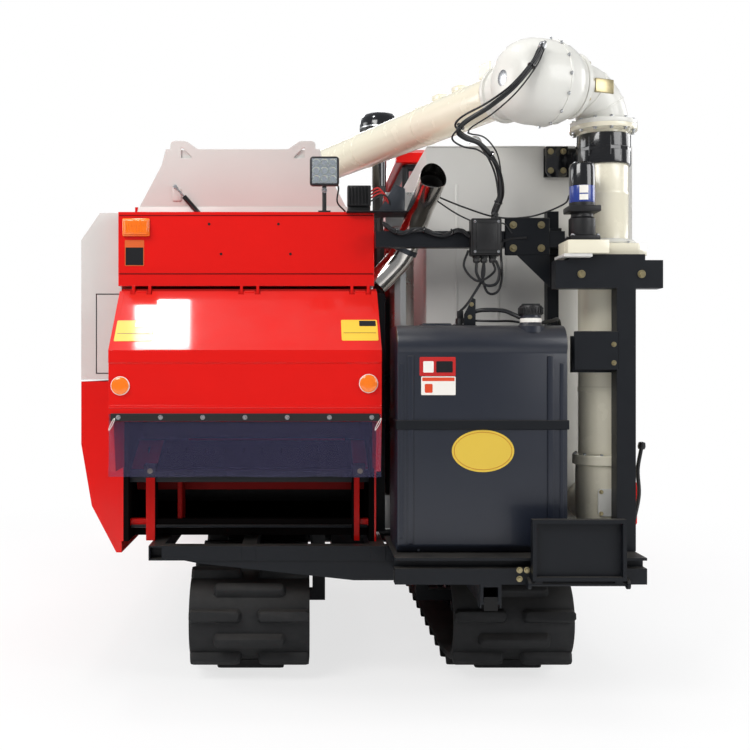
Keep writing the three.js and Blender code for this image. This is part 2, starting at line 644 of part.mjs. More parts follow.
function rearCarrier() {
  const { left, right, rear, tube, tubeLow, plate, armX, receiverX, receiver } = carrier;
  const plateLow = chassis.high + fit;
  const shelf = box([left, right], [rear, leftPost.front + 20], [plateLow, plateLow + plate]);
  const tubeBar = box([left, right], [rear, rear + tube], [tubeLow, tubeLow + tube]);
  const bore = box([left - 1, right + 1], [rear + 6, rear + tube - 6], [tubeLow + 6, tubeLow + tube - 6]);
  const web = box([left, right], [rear + tube - 8, rear + tube], [tubeLow + tube - 8, plateLow + 1]);
  const arms = armX.map((x) => box(
    [x - 30, x + 30], [rear + tube - 8, chassis.rear - fit], [tubeLow, plateLow + 1],
  ));
  const hitch = cut(
    box([receiverX - receiver / 2, receiverX + receiver / 2], [rear, chassis.rear - fit],
      [tubeLow - receiver, tubeLow + 1]),
    box([receiverX - receiver / 2 + 10, receiverX + receiver / 2 - 10], [rear - 1, rear + 220],
      [tubeLow - receiver + 10, tubeLow - 10]),
  );
  const ears = [step.left - step.ear - 4, step.right + 4].map((x) => {
    const y = overall.rear + step.thickness / 2;
    const outline = bandRound([[y, step.pinZ, 18], [rear + 1, tubeLow + 30, 0], [rear + 1, tubeLow, 0]]);
    return slab('x', outline, [x, x + step.ear], [circlePoints(y, step.pinZ, eyeRadius(step.pinR), sides)]);
  });
  return join(cut(tubeBar, bore), shelf, web, arms, hitch, ears);
}

// Folding step: a shallow tray that lies against the carrier until it is let down.
function fuelStep() {
  const { left, right, high, low, thickness, pinZ, pinR } = step;
  const y = overall.rear;
  const tray = cut(
    box([left, right], [y, y + thickness], [low, high]),
    box([left + 14, right - 14], [y - 1, y + thickness - 12], [low + 14, high - 14]),
  );
  const axisY = y + thickness / 2;
  const pin = bar(vec(left - step.ear - 4, axisY, pinZ), vec(right + step.ear + 4, axisY, pinZ), pinR);
  const tabs = [left + 10, right - 40].map((x) => box(
    [x, x + 30], [axisY - 6, axisY + 6], [pinZ - 4, low + 2],
  ));
  return join(tray, pin, tabs);
}

function fuelTankBody() {
  const { left, right, rear, front, high, corner } = fuelTank;
  const low = chassis.high + carrier.plate + fit * 2;
  const outline = roundedRect([left, right], [low, high], corner);
  const shell = slab('y', outline, [rear + 12, front - 12]);
  const inner = roundedRect([left + 12, right - 12], [low + 12, high - 12], corner - 10);
  const core = slab('y', inner, [rear, front]);
  const { x, y, neck: rise, neckR } = filler;
  const neck = bar(vec(x, y, high - 20), vec(x, y, high + rise), neckR);
  return join(shell, core, neck);
}

function roundedRect([x0, x1], [y0, y1], radius, count = 4) {
  const corners = [[x1 - radius, y0 + radius, -90], [x1 - radius, y1 - radius, 0],
    [x0 + radius, y1 - radius, 90], [x0 + radius, y0 + radius, 180]];
  return corners.flatMap(([x, y, start]) => Array.from({ length: count + 1 }, (_, i) => {
    const angle = THREE.MathUtils.degToRad(start + (90 * i) / count);
    return [x + radius * Math.cos(angle), y + radius * Math.sin(angle)];
  }));
}

function fillerCap() {
  const low = fuelTank.high + filler.neck + fit;
  return bar(vec(filler.x, filler.y, low), vec(filler.x, filler.y, low + filler.cap), filler.capR);
}

// Right post, the channel on its head and the clamp plate that holds the lower auger tube.
function augerPostFrame() {
  const { x, width, rear, top, channelLow, channelHigh } = rightPost;
  const low = chassis.high + carrier.plate + fit * 2;
  const span = [rear, rear + width];
  const post = box([x - width / 2, x + width / 2], span, [low, top]);
  const channel = box([750, 1170], span, [channelLow, channelHigh]);
  const riser = box([800, 1100], span, [channelHigh - 1, unloader.gearLow - fit]);
  const tubeBack = unloader.y - unloader.tubeR - fit;
  const clamp = box([830, 1050], [rear + width - 1, tubeBack], [1290, 1435]);
  return join(post, channel, riser, clamp);
}

// Left post between the fuel and grain tanks, the black beam, and the bearing of the swinging tube.
function tankBracketPost() {
  const { x, width, rear, front, top } = leftPost;
  const low = chassis.high + carrier.plate + fit * 2;
  const tankBack = grainTank.rear - fit;
  const post = box([x - width / 2, x + width / 2], [rear, front], [low, top]);
  const crossBeam = box(
    [upperBox.right + fit, x + width / 2], [beam.rear, beam.front], [beam.low, beam.high],
  );
  const link = box(
    [x - width / 2, x + width / 2], [beam.front - 1, rear + 1], [beam.low - 20, beam.high + 20],
  );
  const stay = box([x - width / 2, x + width / 2], [front - 1, tankBack], [beam.low, beam.high]);
  return join(post, crossBeam, link, stay);
}

// Collar bolted to the tank's rear wall, in which the swinging tube turns.
function tubeCollar() {
  const { low, high, plate } = clampBand;
  const { x, y, tubeR } = unloader;
  const outer = tubeR + 10;
  const ring = bar(vec(x, y, low), vec(x, y, high), outer);
  const neck = box([x - 70, x + 70], [y + tubeR, grainTank.rear - fit - plate + 1], [low, high]);
  const foot = box(
    [x - 190, x + 150], [grainTank.rear - fit - plate, grainTank.rear - fit], [low - 30, high + 15],
  );
  const bore = bar(vec(x, y, low - 1), vec(x, y, high + 1), eyeRadius(tubeR));
  return cut(join(ring, neck, foot), bore);
}

function junctionBox() {
  const back = beam.rear - fit;
  return box([444, 567], [back - 65, back], [1765, 1915]);
}

// ---------------------------------------------------------------- unloading auger

function unloadBoot() {
  const { x, y, tubeR, bootR, bootHigh, gearLow } = unloader;
  const low = chassis.high + carrier.plate + fit * 2;
  const column = revolve([
    [0, 0], [70, 0], [80, 40], [bootR, 90], [bootR, bootHigh - low - 30], [bootR + 13, bootHigh - low - 30],
    [bootR + 13, bootHigh - low], [tubeR, bootHigh - low],
    [tubeR, gearLow - fit - low], [0, gearLow - fit - low],
  ], vec(x, y, low), vec(0, 0, 1));
  const crossTube = bar(vec(x, y, low + 150), vec(x, grainTank.rear - fit, low + 150), 90);
  return join(column, crossTube);
}

function swingGearCase() {
  const { x, y, gearLow, gearHigh, gearR } = unloader;
  return slab('z', bandRound([[x, y, gearR], [motor.x, motor.y, motor.flangeR]]), [gearLow, gearHigh]);
}

function swingMotor() {
  const low = unloader.gearHigh + fit;
  const body = bar(vec(motor.x, motor.y, low), vec(motor.x, motor.y, motor.high), motor.r);
  return join(body, box([motor.x - 58, motor.x + 58], [motor.y - 58, motor.y + 58], [low, low + 18]));
}

// What swings: the upper tube and the elbow on it.
const boomTurn = THREE.MathUtils.degToRad(unloader.heading);
const boomWay = vec(Math.cos(boomTurn), Math.sin(boomTurn), 0);
const liftWay = vec(-Math.sin(boomTurn), Math.cos(boomTurn), 0);
const swingHead = vec(unloader.x, unloader.y, boomAxisZ);
const bellCentre = swingHead.clone().addScaledVector(liftWay, unloader.bellOffset);

function swingTube() {
  const { x, y, tubeR, gearHigh, flangeR, flange } = unloader;
  const low = gearHigh + fit;
  const tube = bar(vec(x, y, low), vec(x, y, swingFlangeZ), tubeR);
  return join(tube, bar(vec(x, y, swingFlangeZ - flange), vec(x, y, swingFlangeZ), flangeR));
}

function swingElbow() {
  const { x, y, tubeR, flangeR, flange, bellStart } = unloader;
  const low = swingFlangeZ + fit;
  const rise = boomAxisZ - low;
  const foot = bar(vec(x, y, low), vec(x, y, low + flange), flangeR);
  const bend = Array.from({ length: 9 }, (_, i) => {
    const angle = (i / 8) * (Math.PI / 2);
    return vec(x, y, low).addScaledVector(liftWay, rise * (1 - Math.cos(angle)))
      .add(vec(0, 0, rise * Math.sin(angle)));
  });
  const end = swingHead.clone().addScaledVector(liftWay, bellStart - fit);
  const collarBack = end.clone().addScaledVector(liftWay, -flange);
  const collar = bar(collarBack, end, flangeR - 5);
  const lean = new THREE.Vector3(...cable.points[0]).sub(end).projectOnPlane(liftWay).normalize();
  const armFoot = collarBack.clone().addScaledVector(liftWay, flange / 2);
  const armBend = armFoot.clone().addScaledVector(lean, cable.armR + cable.clipR);
  const armTip = armBend.clone().addScaledVector(liftWay, cable.armReach);
  const arm = join(
    bar(
      armFoot.clone().addScaledVector(lean, tubeR), armBend.clone().addScaledVector(lean, cable.clipR),
      cable.clipR, 12,
    ),
    bar(armBend, armTip, cable.clipR, 12),
  );
  const below = box([x - 400, x + 400], [y - 400, y + 400], [low - 100, low]);
  return cut(join(foot, hose([...bend, end], tubeR, 10, 16), collar, arm), below);
}

function liftBell() {
  const { bellStart, bellOffset, bellR, tubeR, boomR } = unloader;
  const reach = bellOffset - bellStart;
  const profile = [
    [0, 0], [tubeR + 26, 0], [tubeR + 26, 16], [bellR - 16, 46], [bellR, 96], [bellR, reach + 20],
    [bellR - 22, reach + 100], [bellR - 70, reach + 140], [0, reach + 152],
  ];
  const start = swingHead.clone().addScaledVector(liftWay, bellStart);
  const bell = revolve(profile, start, liftWay, 20);
  const socketEnd = bellCentre.clone().addScaledVector(boomWay, bellR + 50);
  return join(bell, bar(bellCentre, socketEnd, boomR + 20));
}

const boomStart = bellCentre.clone().addScaledVector(boomWay, unloader.bellR + 50 + fit);
const boomEnd = bellCentre.clone().addScaledVector(boomWay, unloader.boomLength);

function unloadTube() {
  const { boomR } = unloader;
  const flange = 14;
  return join(
    bar(boomStart, boomEnd, boomR),
    bar(boomStart, boomStart.clone().addScaledVector(boomWay, flange), boomR + 24),
  );
}

function unloadSpout() {
  const start = boomEnd.clone().addScaledVector(boomWay, fit);
  const end = start.clone().addScaledVector(boomWay, spout.length);
  const middle = start.clone().lerp(end, 0.52);
  const down = middle.clone().add(vec(0, 0, -spout.drop));
  return join(bar(start, end, spout.r), bar(middle, down, spout.r - 8));
}

// A point of the boom's axis, by its distance forward.
function boomAt(y) {
  return bellCentre.clone().addScaledVector(boomWay, (y - bellCentre.y) / boomWay.y);
}

// Cradle on the thresher's top that the boom rests on: open to the left, where the boom swings out.
function augerRest() {
  const low = coverTop + fit;
  const seatZ = boomAxisZ - unloader.boomR - fit;
  const { x } = boomAt(rest.y);
  const outline = [
    [x - 120, low], [x + 150, low], [x + 150, seatZ + 90], [x + 122, seatZ + 90],
    [x + 122, seatZ], [x - 90, seatZ],
  ];
  const stop = rest.depth / 2;
  const clearTube = bar(boomAt(rest.y - 200), boomAt(rest.y + 200), unloader.boomR + running);
  return cut(slab('y', outline, [rest.y - stop, rest.y + stop]), clearTube);
}

// Cable bundle from the elbow down to the junction box.
function augerCable() {
  return hose(cable.points.map((point) => vec(...point)), cable.r, 28, 8);
}

// ---------------------------------------------------------------- engine and operator's place

function engineBlock() {
  const { left, right, rear, front, high } = engine;
  return box([left, right], [rear, front], [chassis.high + fit, high]);
}

function engineCoverShell() {
  const { left, right, rear, front, high, wall } = engineCover;
  const low = chassis.high + fit;
  const shell = box([left, right], [rear, front], [low, high]);
  const inside = box([left + wall, right + 1], [rear + wall, front - wall], [low - 1, high - wall]);
  const pin = radiatorPin();
  const lugs = [radiatorDoor.low + 40, high - 110].map((z) => (
    box([right - 1, pin.x + 14], [front - 24, front - 4], [z, z + 24])
  ));
  const doorPin = bar(
    vec(pin.x, pin.y, radiatorDoor.low + 20), vec(pin.x, pin.y, high - 30), radiatorDoor.pinR,
  );
  return join(cut(shell, inside), lugs, doorPin);
}

const radiatorPin = () => ({
  x: engineCover.right + running + radiatorDoor.thickness, y: engineCover.front - 14,
});

function radiatorDoorPanel() {
  const { right, rear, front, high } = engineCover;
  const { thickness, low, pinR } = radiatorDoor;
  const inner = right + running;
  const outer = inner + thickness;
  const pin = radiatorPin();
  const panel = cut(
    box([inner, outer], [rear, front - 50], [low, high - 20]),
    box([inner - 1, outer - 14], [rear + 40, front - 90], [low + 40, high - 60]),
  );
  const straps = [low + 100, high - 190].map((z) => join(
    box([pin.x - 8, pin.x + 8], [front - 51, pin.y], [z, z + 40]),
    bar(vec(pin.x, pin.y, z), vec(pin.x, pin.y, z + 40), pinR + 9),
  ));
  return cut(join(panel, straps), bar(vec(pin.x, pin.y, low), vec(pin.x, pin.y, high), eyeRadius(pinR)));
}

function operatorPlatform() {
  const { left, right, rear, front, high, thickness } = platform;
  const floor = box([left, right], [rear, front], [high - thickness, high]);
  const legs = [chassis.railX[3], chassis.railX[4]].flatMap((x) => [rear + 30, chassis.rightFront - 40].map(
    (y) => box([x - 25, x + 25], [y, y + 40], [chassis.high + fit, high - 1]),
  ));
  const leftLeg = box([left, left + 40], [rear + 30, rear + 70], [chassis.high + fit + 60, high - 1]);
  const foot = box(
    [chassis.railX[2] - 25, left + 40], [rear + 30, rear + 70], [chassis.high + fit, chassis.high + 90],
  );
  const stepLow = chassis.high - 60;
  const hangerY = [front - 330, front - 40];
  const treadZ = [stepLow, stepLow + 215];
  const tread = [front - 330, front - 10];
  const hangers = hangerY.map((y) => box([right - 30, right], [y, y + 30], [stepLow, high - 1]));
  const treads = treadZ.map((z) => box([right - 150, right], tread, [z, z + 20]));
  const back = treadZ.map((z) => box([right - 160, right - 130], tread, [z, z + 50]));
  const innerHangers = hangerY.map((y) => box(
    [right - 160, right - 130], [y, y + 30], [stepLow, high - 1],
  ));
  return join(floor, legs, leftLeg, foot, hangers, innerHangers, treads, back);
}

function seatCushion() {
  const { x, width, rear, depth, cushion } = seat;
  const low = engineCover.high + fit;
  const outline = roundedRect([x - width / 2, x + width / 2], [rear, rear + depth], 60);
  return slab('z', outline, [low, low + cushion]);
}

function seatBack() {
  const { x, width, rear, backHigh, back, cushion } = seat;
  const low = engineCover.high + fit;
  const panel = slab('y', roundedRect([x - width / 2, x + width / 2], [low + cushion + 20, backHigh], 60),
    [rear - back - fit, rear - fit]);
  const legs = [-1, 1].map((side) => box(
    [x + side * 130 - 15, x + side * 130 + 15],
    [rear - back + 20, rear - back + 50],
    [low, low + cushion + 60],
  ));
  return join(panel, legs);
}

function controlConsole() {
  const { left, right, rear, front, high, sideWidth } = consoleBox;
  const low = platform.high + fit;
  const crown = [[front, high - 120], [rear + 90, high], [rear, high - 40]];
  const column = slab('x', [[front, low], ...crown, [rear + 60, low]],
    [left + 180, right - 180]);
  const panel = slab('x', [[front, high - 220], ...crown, [rear + 40, high - 200]],
    [left, right]);
  const sideBox = box(
    [platform.left + 30, platform.left + 30 + sideWidth], [platform.rear + 10, front], [low, low + 420],
  );
  const tie = box([platform.left + 30, left + 181], [rear + 70, front], [low, low + 420]);
  return join(column, panel, sideBox, tie);
}

function canopyFrame() {
  const { left, right, rear, front, low, post } = canopy;
  const x = [left + 60, right - 60];
  const y = [rear + 60, front - 70];
  const r = post / 2;
  const top = low - fit - r;
  const posts = x.flatMap((px) => [
    bar(vec(px, y[0], engineCover.high + fit), vec(px, y[0], top), r, 12),
    bar(vec(px, y[1], platform.high + fit), vec(px, y[1], top), r, 12),
  ]);
  const rails = [
    ...x.map((side) => bar(vec(side, y[0], top), vec(side, y[1], top), r, 12)),
    ...y.map((end) => bar(vec(x[0], end, top), vec(x[1], end, top), r, 12)),
    bar(vec(x[0], y[1], 1750), vec(x[1], y[1], 1750), r, 12),
  ];
  const { high } = engineCover;
  const feet = box([x[0] - 30, x[1] + 30], [y[0] - 25, y[0] + 25], [high + fit, high + 20]);
  return join(posts, rails, feet);
}

function canopyRoof() {
  const { left, right, rear, front, low, high } = canopy;
  const rise = 34;
  return slab('x', [[rear, low], [front, low], [front, high - rise], [front - 120, high], [rear + 90, high],
    [rear, high - rise]], [left, right]);
}

function airPrecleaner() {
  const { x, y, pipeR, domeR, high } = precleaner;
  const elbowZ = 1000;
  const dome = revolve([
    [0, 0], [domeR - 30, 0], [domeR, 25], [domeR, 110], [domeR - 20, 150], [domeR - 60, 178], [0, 186],
  ], vec(x, y, high - 186), vec(0, 0, 1));
  const stack = bar(vec(x, y, elbowZ), vec(x, y, high - 180), pipeR);
  const link = bar(vec(x, y, elbowZ), vec(x, engine.rear + 130, elbowZ), pipeR);
  const inletY = engine.rear + 130;
  const inlet = bar(vec(x, inletY, elbowZ), vec(engineCover.left - fit, inletY, elbowZ), pipeR);
  const balls = [y, engine.rear + 130].map((by) => solidOf(
    new THREE.SphereGeometry(pipeR, 12, 8).translate(x, by, elbowZ),
  ));
  return join(dome, stack, link, inlet, balls);
}

function exhaustPipe() {
  const { r, bore, points } = exhaust;
  const path = [vec(upperBox.right + fit, points[0][1], points[0][2]), ...points.map((p) => vec(...p))];
  const end = path.at(-1);
  const way = end.clone().sub(path.at(-2)).normalize();
  const mouth = bar(end.clone().addScaledVector(way, -90), end.clone().addScaledVector(way, 20), bore);
  return cut(hose(path, r, 18, 12), mouth);
}

function workLight() {
  const { x, y, z, size, depth } = lamp;
  const body = box([x - size / 2, x + size / 2], [y, y + depth], [z - size / 2, z + size / 2]);
  const foot = upperBox.high + fit;
  const stem = box([x - 10, x + 10], [y + depth - 1, y + depth + 9], [foot, z]);
  const base = box([x - 30, x + 30], [y + depth - 1, y + depth + 50], [foot, foot + 6]);
  return join(body, stem, base);
}

// ---------------------------------------------------------------- header

function feederHouse() {
  const { left, right, front, topZ, lowZ, wall } = feeder;
  const { y, z, drumR, pinR } = pivot;
  const outer = bandRound([[y, z, drumR], [front - fit, topZ, 0], [front - fit, lowZ, 0]]);
  const inner = bandRound([
    [y, z, drumR - wall], [front + 200, topZ - wall - 120, 0], [front + 200, lowZ - 120, 0],
  ]);
  const shell = slab('x', outer, [left, right]);
  const inside = slab('x', inner, [left + wall, right - wall]);
  const mouth = box([left + wall, right - wall], [y - drumR - 1, y], [z - 80, z + 80]);
  const pins = bar(vec(left - 40, y, z), vec(right + 40, y, z), pinR);
  const pinsOnly = cut(pins, box([left + wall, right - wall], [y - 50, y + 50], [z - 50, z + 50]));
  return join(cut(shell, inside, mouth), pinsOnly, ramEye());
}

// Lug under the feeder house that the cylinder's rod is pinned to.
function ramEye() {
  const { x, eyeY, eyeZ, pinR, lug, rodR, eyeSlack } = ram;
  const roofZ = eyeZ + 150;
  return [-1, 1].map((side) => {
    const near = x + side * (rodR + 6);
    const far = near + side * lug;
    const outline = bandRound([
      [eyeY, eyeZ, pinR + eyeSlack + 14], [eyeY - 70, roofZ, 0], [eyeY + 60, roofZ - 60, 0],
    ]);
    return slab('x', outline, [Math.min(near, far), Math.max(near, far)],
      [circlePoints(eyeY, eyeZ, pinR + eyeSlack, sides)]);
  });
}

function headerFrame() {
  const { backY, wall, floorLow, floorHigh, backTop, floorFront, earTop, sheet } = header;
  const inner = halfWidth - sheet;
  const back = cut(
    box([-inner - 1, inner + 1], [backY, backY + wall], [floorLow, backTop]),
    box([feeder.left + feeder.wall, feeder.right - feeder.wall], [backY - 1, backY + wall + 1],
      [feeder.lowZ + feeder.wall, feeder.topZ - feeder.wall]),
  );
  const floor = box([-inner - 1, inner + 1], [backY, floorFront], [floorLow, floorHigh]);
  const trough = slab('x', [
    [backY + wall - 1, floorHigh - 1], [backY + wall - 1, 260], [backY + wall + 50, 190],
    [header.auger.y - 120, floorHigh + 6], [header.auger.y, floorHigh - 1],
  ], [-inner - 1, inner + 1]);
  const outline = [
    [backY - 60, 420], [backY - 40, floorLow], [overall.front - 120, floorLow], [overall.front, 175],
    [2380, 430], [1980, 640], [backY + 190, backTop], [backY + 70, earTop], [backY - 50, earTop],
  ];
  const pinHole = circlePoints(reelArm.y, reelArm.z, eyeRadius(reelArm.pinR), sides);
  const shaftHole = circlePoints(header.auger.y, header.auger.z, eyeRadius(22), sides);
  const sheets = [[-halfWidth, -inner], [inner, halfWidth]].map(
    (span) => slab('x', outline, span, [pinHole, shaftHole]),
  );
  return join(back, floor, trough, sheets);
}

function cutterBar() {
  const { front, pitch, low, high } = cutter;
  const inner = halfWidth - header.sheet - fit;
  const back = header.floorFront + fit;
  const root = back + 45;
  const count = Math.floor((inner * 2) / pitch);
  const start = (-count / 2) * pitch;
  const teeth = Array.from({ length: count }, (_, i) => {
    const x = start + (i + 0.5) * pitch;
    return [[x + 20, root], [x + 6, front], [x - 6, front], [x - 20, root]];
  }).reverse().flat();
  return slab('z', [[-inner, back], [inner, back], [inner, root], ...teeth, [-inner, root]], [low, high]);
}

// A screw flight: a bar bent round the axis through its turns.
function screwFlight(fromX, toX, pitch, inner, outer, thickness, hand) {
  const turns = Math.abs(toX - fromX) / pitch;
  const steps = Math.round(turns * 10);
  const strip = new THREE.BoxGeometry(1, 1, 1, steps, 1, 1);
  const { position } = strip.attributes;
  for (let i = 0; i < position.count; i += 1) {
    const along = position.getX(i) + 0.5;
    const radius = position.getY(i) > 0 ? outer : inner;
    const angle = hand * along * turns * Math.PI * 2;
    const x = fromX + (toX - fromX) * along + position.getZ(i) * thickness;
    const { y, z } = header.auger;
    position.setXYZ(i, x, y + radius * Math.cos(angle), z + radius * Math.sin(angle));
  }
  const solid = solidOf(strip);
  return solid.volume() < 0 ? solidOf(flipped(mergeVertices(bare(strip), 1e-3))) : solid;
}

function bare(geometry) {
  geometry.deleteAttribute('normal');
  geometry.deleteAttribute('uv');
  return geometry;
}

function headerAuger() {
  const { y, z, core, r, pitch } = header.auger;
  const end = halfWidth - header.sheet - running;
  const middle = (feeder.left + feeder.right) / 2;
  const drum = bar(vec(-end, y, z), vec(end, y, z), core);
  const shaft = bar(vec(-halfWidth + 6, y, z), vec(halfWidth - 6, y, z), 22);
  const leftFlight = screwFlight(-end + 8, middle - 180, pitch, core - 12, r, 10, 1);
  const rightFlight = screwFlight(end - 8, middle + 180, pitch, core - 12, r, 10, 1);
  return join(drum, shaft, leftFlight, rightFlight);
}

function reelArms() {
  const { y, z, width, tubeR, pinR } = reelArm;
  const x = reelArmX;
  const outline = bandRound([[y, z, 36], [reel.y, reel.z, 44]]);
  const eye = circlePoints(reel.y, reel.z, eyeRadius(reel.tubeR - 6), sides);
  const arms = [-1, 1].map((side) => slab('x', outline,
    [side * x - width / 2, side * x + width / 2], [eye]));
  const tube = bar(vec(-x, y, z), vec(x, y, z), tubeR);
  const pins = bar(vec(-halfWidth + 5, y, z), vec(halfWidth - 5, y, z), pinR);
  return join(arms, tube, pins);
}

function reelWheel() {
  const { y, z, r, endGap, bats, tubeR, batR } = reel;
  const halfLength = halfWidth - endGap;
  const shaft = bar(vec(-halfLength, y, z), vec(halfLength, y, z), tubeR, 12);
  const journal = bar(vec(-reelArmX - 8, y, z), vec(reelArmX + 8, y, z), tubeR - 6);
  const batRadius = r - batR - 8;
  const angles = Array.from({ length: bats }, (_, i) => (i / bats) * Math.PI * 2 + 0.3);
  const at = (angle, radius, x) => vec(x, y + radius * Math.cos(angle), z + radius * Math.sin(angle));
  const tubes = angles.map((angle) => bar(
    at(angle, batRadius, -halfLength), at(angle, batRadius, halfLength), batR, 8,
  ));
  const star = angles.flatMap((angle) => {
    const valley = angle + Math.PI / bats;
    return [[y + (batRadius + 6) * Math.cos(angle), z + (batRadius + 6) * Math.sin(angle)],
      [y + (tubeR + 60) * Math.cos(valley), z + (tubeR + 60) * Math.sin(valley)]];
  });
  const spokes = [-halfLength + 20, 0, halfLength - 20].map((x) => slab('x', star, [x - 4, x + 4]));
  return join(shaft, journal, tubes, spokes);
}

const ramWay = vec(0, ram.eyeY - ram.baseY, ram.eyeZ - ram.baseZ);
const ramAt = (distance) => vec(ram.x, ram.baseY, ram.baseZ).addScaledVector(ramWay.clone().normalize(), distance);

function ramBarrel() {
  const { x, baseY, baseZ, barrelR, rodR, pinR } = ram;
  const mouth = ramWay.length() - 130;
  const body = bar(ramAt(40), ramAt(mouth), barrelR);
  const eye = bar(vec(x - barrelR + 4, baseY, baseZ), vec(x + barrelR - 4, baseY, baseZ), 28);
  const pin = bar(vec(x - barrelR - 18, baseY, baseZ), vec(x + barrelR + 18, baseY, baseZ), pinR);
  const bore = bar(ramAt(90), ramAt(mouth + 10), eyeRadius(rodR));
  return cut(join(body, eye, bar(ramAt(10), ramAt(60), 26), pin), bore);
}

function ramRod() {
  const { x, eyeY, eyeZ, rodR, pinR } = ram;
  const rod = bar(ramAt(100), ramAt(ramWay.length()), rodR);
  const eye = bar(vec(x - rodR, eyeY, eyeZ), vec(x + rodR, eyeY, eyeZ), 26);
  const pin = bar(vec(x - rodR - 26, eyeY, eyeZ), vec(x + rodR + 26, eyeY, eyeZ), pinR);
  return join(rod, eye, pin);
}

// ---------------------------------------------------------------- assembly

addUndercarriage();
node('chassis_frame', framePaint(), chassisFrame());

node('thresher_body', redPaint(), thresherBody());
node('thresher_top_cover', greyPaint(), thresherTopCover());
node('thresher_end_plate', greyPaint(), thresherEndPlate());
node('rear_upper_box', redPaint(), rearUpperBox());
node('sieve_outlet_frame', redPaint(), sieveOutletFrame());
node('rear_hood', redPaint(), rearHoodParts());
node('hood_curtain', clearSheet(), curtainSheet());
node('curtain_strip', framePaint(), curtainStrip());
node('left_upper_cover', greyPaint(), leftUpperCover());
node('left_lower_cover', redPaint(), leftLowerCover());

node('grain_tank', greyPaint(), grainTankBody());
node('tank_lid', greyPaint(), tankLid());
node('grain_elevator', bareSteel(), grainElevator());

node('rear_carrier', framePaint(), rearCarrier());
node('fuel_step', framePaint(), fuelStep());
node('fuel_tank', tankPaint(), fuelTankBody());
node('fuel_filler_cap', blackPlastic(), fillerCap());
node('auger_post_frame', framePaint(), augerPostFrame());
node('tank_bracket_post', framePaint(), tankBracketPost());
node('tube_collar', framePaint(), tubeCollar());
node('junction_box', blackPlastic(), junctionBox());

node('unload_boot', creamPaint(), unloadBoot());
node('swing_gear_case', creamPaint(), swingGearCase());
node('swing_motor', tankPaint(), swingMotor());
node('swing_tube', creamPaint(), swingTube());
node('swing_elbow', creamPaint(), swingElbow());
node('lift_bell', creamPaint(), liftBell());
node('unload_tube', creamPaint(), unloadTube());
node('unload_spout', blackRubber(), unloadSpout());
node('auger_rest', framePaint(), augerRest());
node('auger_cable', blackPlastic(), augerCable());

node('engine_block', ironBlock(), engineBlock());
node('engine_cover', redPaint(), engineCoverShell());
node('radiator_door', blackPlastic(), radiatorDoorPanel());
node('air_precleaner', blackPlastic(), airPrecleaner());
node('exhaust_pipe', bareSteel(), exhaustPipe());
node('work_light', blackPlastic(), workLight());

node('operator_platform', framePaint(), operatorPlatform());
node('seat_cushion', blackPlastic(), seatCushion());
node('seat_back', blackPlastic(), seatBack());
node('control_console', greyPaint(), controlConsole());
node('canopy_frame', framePaint(), canopyFrame());
node('canopy_roof', redPaint(), canopyRoof());

node('feeder_house', redPaint(), feederHouse());
node('header_frame', redPaint(), headerFrame());
node('cutter_bar', bareSteel(), cutterBar());
node('header_auger', redPaint(), headerAuger());
node('reel_arms', redPaint(), reelArms());
node('reel', redPaint(), reelWheel());
node('ram_barrel', framePaint(), ramBarrel());
node('ram_rod', bareSteel(), ramRod());

export default harvester;
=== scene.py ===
"""Tracked combine harvester, seen from behind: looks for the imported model. Metres, +Y forward, +Z up."""
import bpy
import bmesh
import math
from mathutils import Matrix, Vector


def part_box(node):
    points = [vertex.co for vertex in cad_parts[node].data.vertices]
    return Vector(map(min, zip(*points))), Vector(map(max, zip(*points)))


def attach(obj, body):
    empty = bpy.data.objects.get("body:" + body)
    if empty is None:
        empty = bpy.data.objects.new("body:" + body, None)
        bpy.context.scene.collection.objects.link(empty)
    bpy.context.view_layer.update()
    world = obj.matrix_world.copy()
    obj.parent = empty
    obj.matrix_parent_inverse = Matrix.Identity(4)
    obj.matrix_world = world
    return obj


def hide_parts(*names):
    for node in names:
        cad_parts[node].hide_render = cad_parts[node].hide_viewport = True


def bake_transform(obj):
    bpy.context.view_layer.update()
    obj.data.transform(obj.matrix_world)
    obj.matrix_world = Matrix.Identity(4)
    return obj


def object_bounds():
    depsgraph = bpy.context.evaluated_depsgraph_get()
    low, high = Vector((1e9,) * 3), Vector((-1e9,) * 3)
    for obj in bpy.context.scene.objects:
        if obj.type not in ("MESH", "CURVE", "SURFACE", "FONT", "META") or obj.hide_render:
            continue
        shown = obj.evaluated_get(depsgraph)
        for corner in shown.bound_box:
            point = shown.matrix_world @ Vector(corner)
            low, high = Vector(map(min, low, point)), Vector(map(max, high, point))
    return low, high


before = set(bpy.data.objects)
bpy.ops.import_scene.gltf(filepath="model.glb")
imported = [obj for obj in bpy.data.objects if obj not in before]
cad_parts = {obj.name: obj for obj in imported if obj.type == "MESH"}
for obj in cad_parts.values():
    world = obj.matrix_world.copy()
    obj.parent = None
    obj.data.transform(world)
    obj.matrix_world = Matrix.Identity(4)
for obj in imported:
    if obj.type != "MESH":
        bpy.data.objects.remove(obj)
cad_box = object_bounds()
scene = bpy.context.scene
TAU = math.tau
FLOOR_DROP, WELD_REACH, SOFT_EDGE_ANGLE = 0.0005, 0.00005, math.radians(32)
RIGHT, AHEAD, UP = Vector((1, 0, 0)), Vector((0, 1, 0)), Vector((0, 0, 1))


# ------------------------------------------------------------------ camera, light, floor

def set_values(node, values):
    """Sets a node's unlinked sockets, by name or number, and gives the node back."""
    for socket, value in values.items():
        node.inputs[socket].default_value = value
    return node


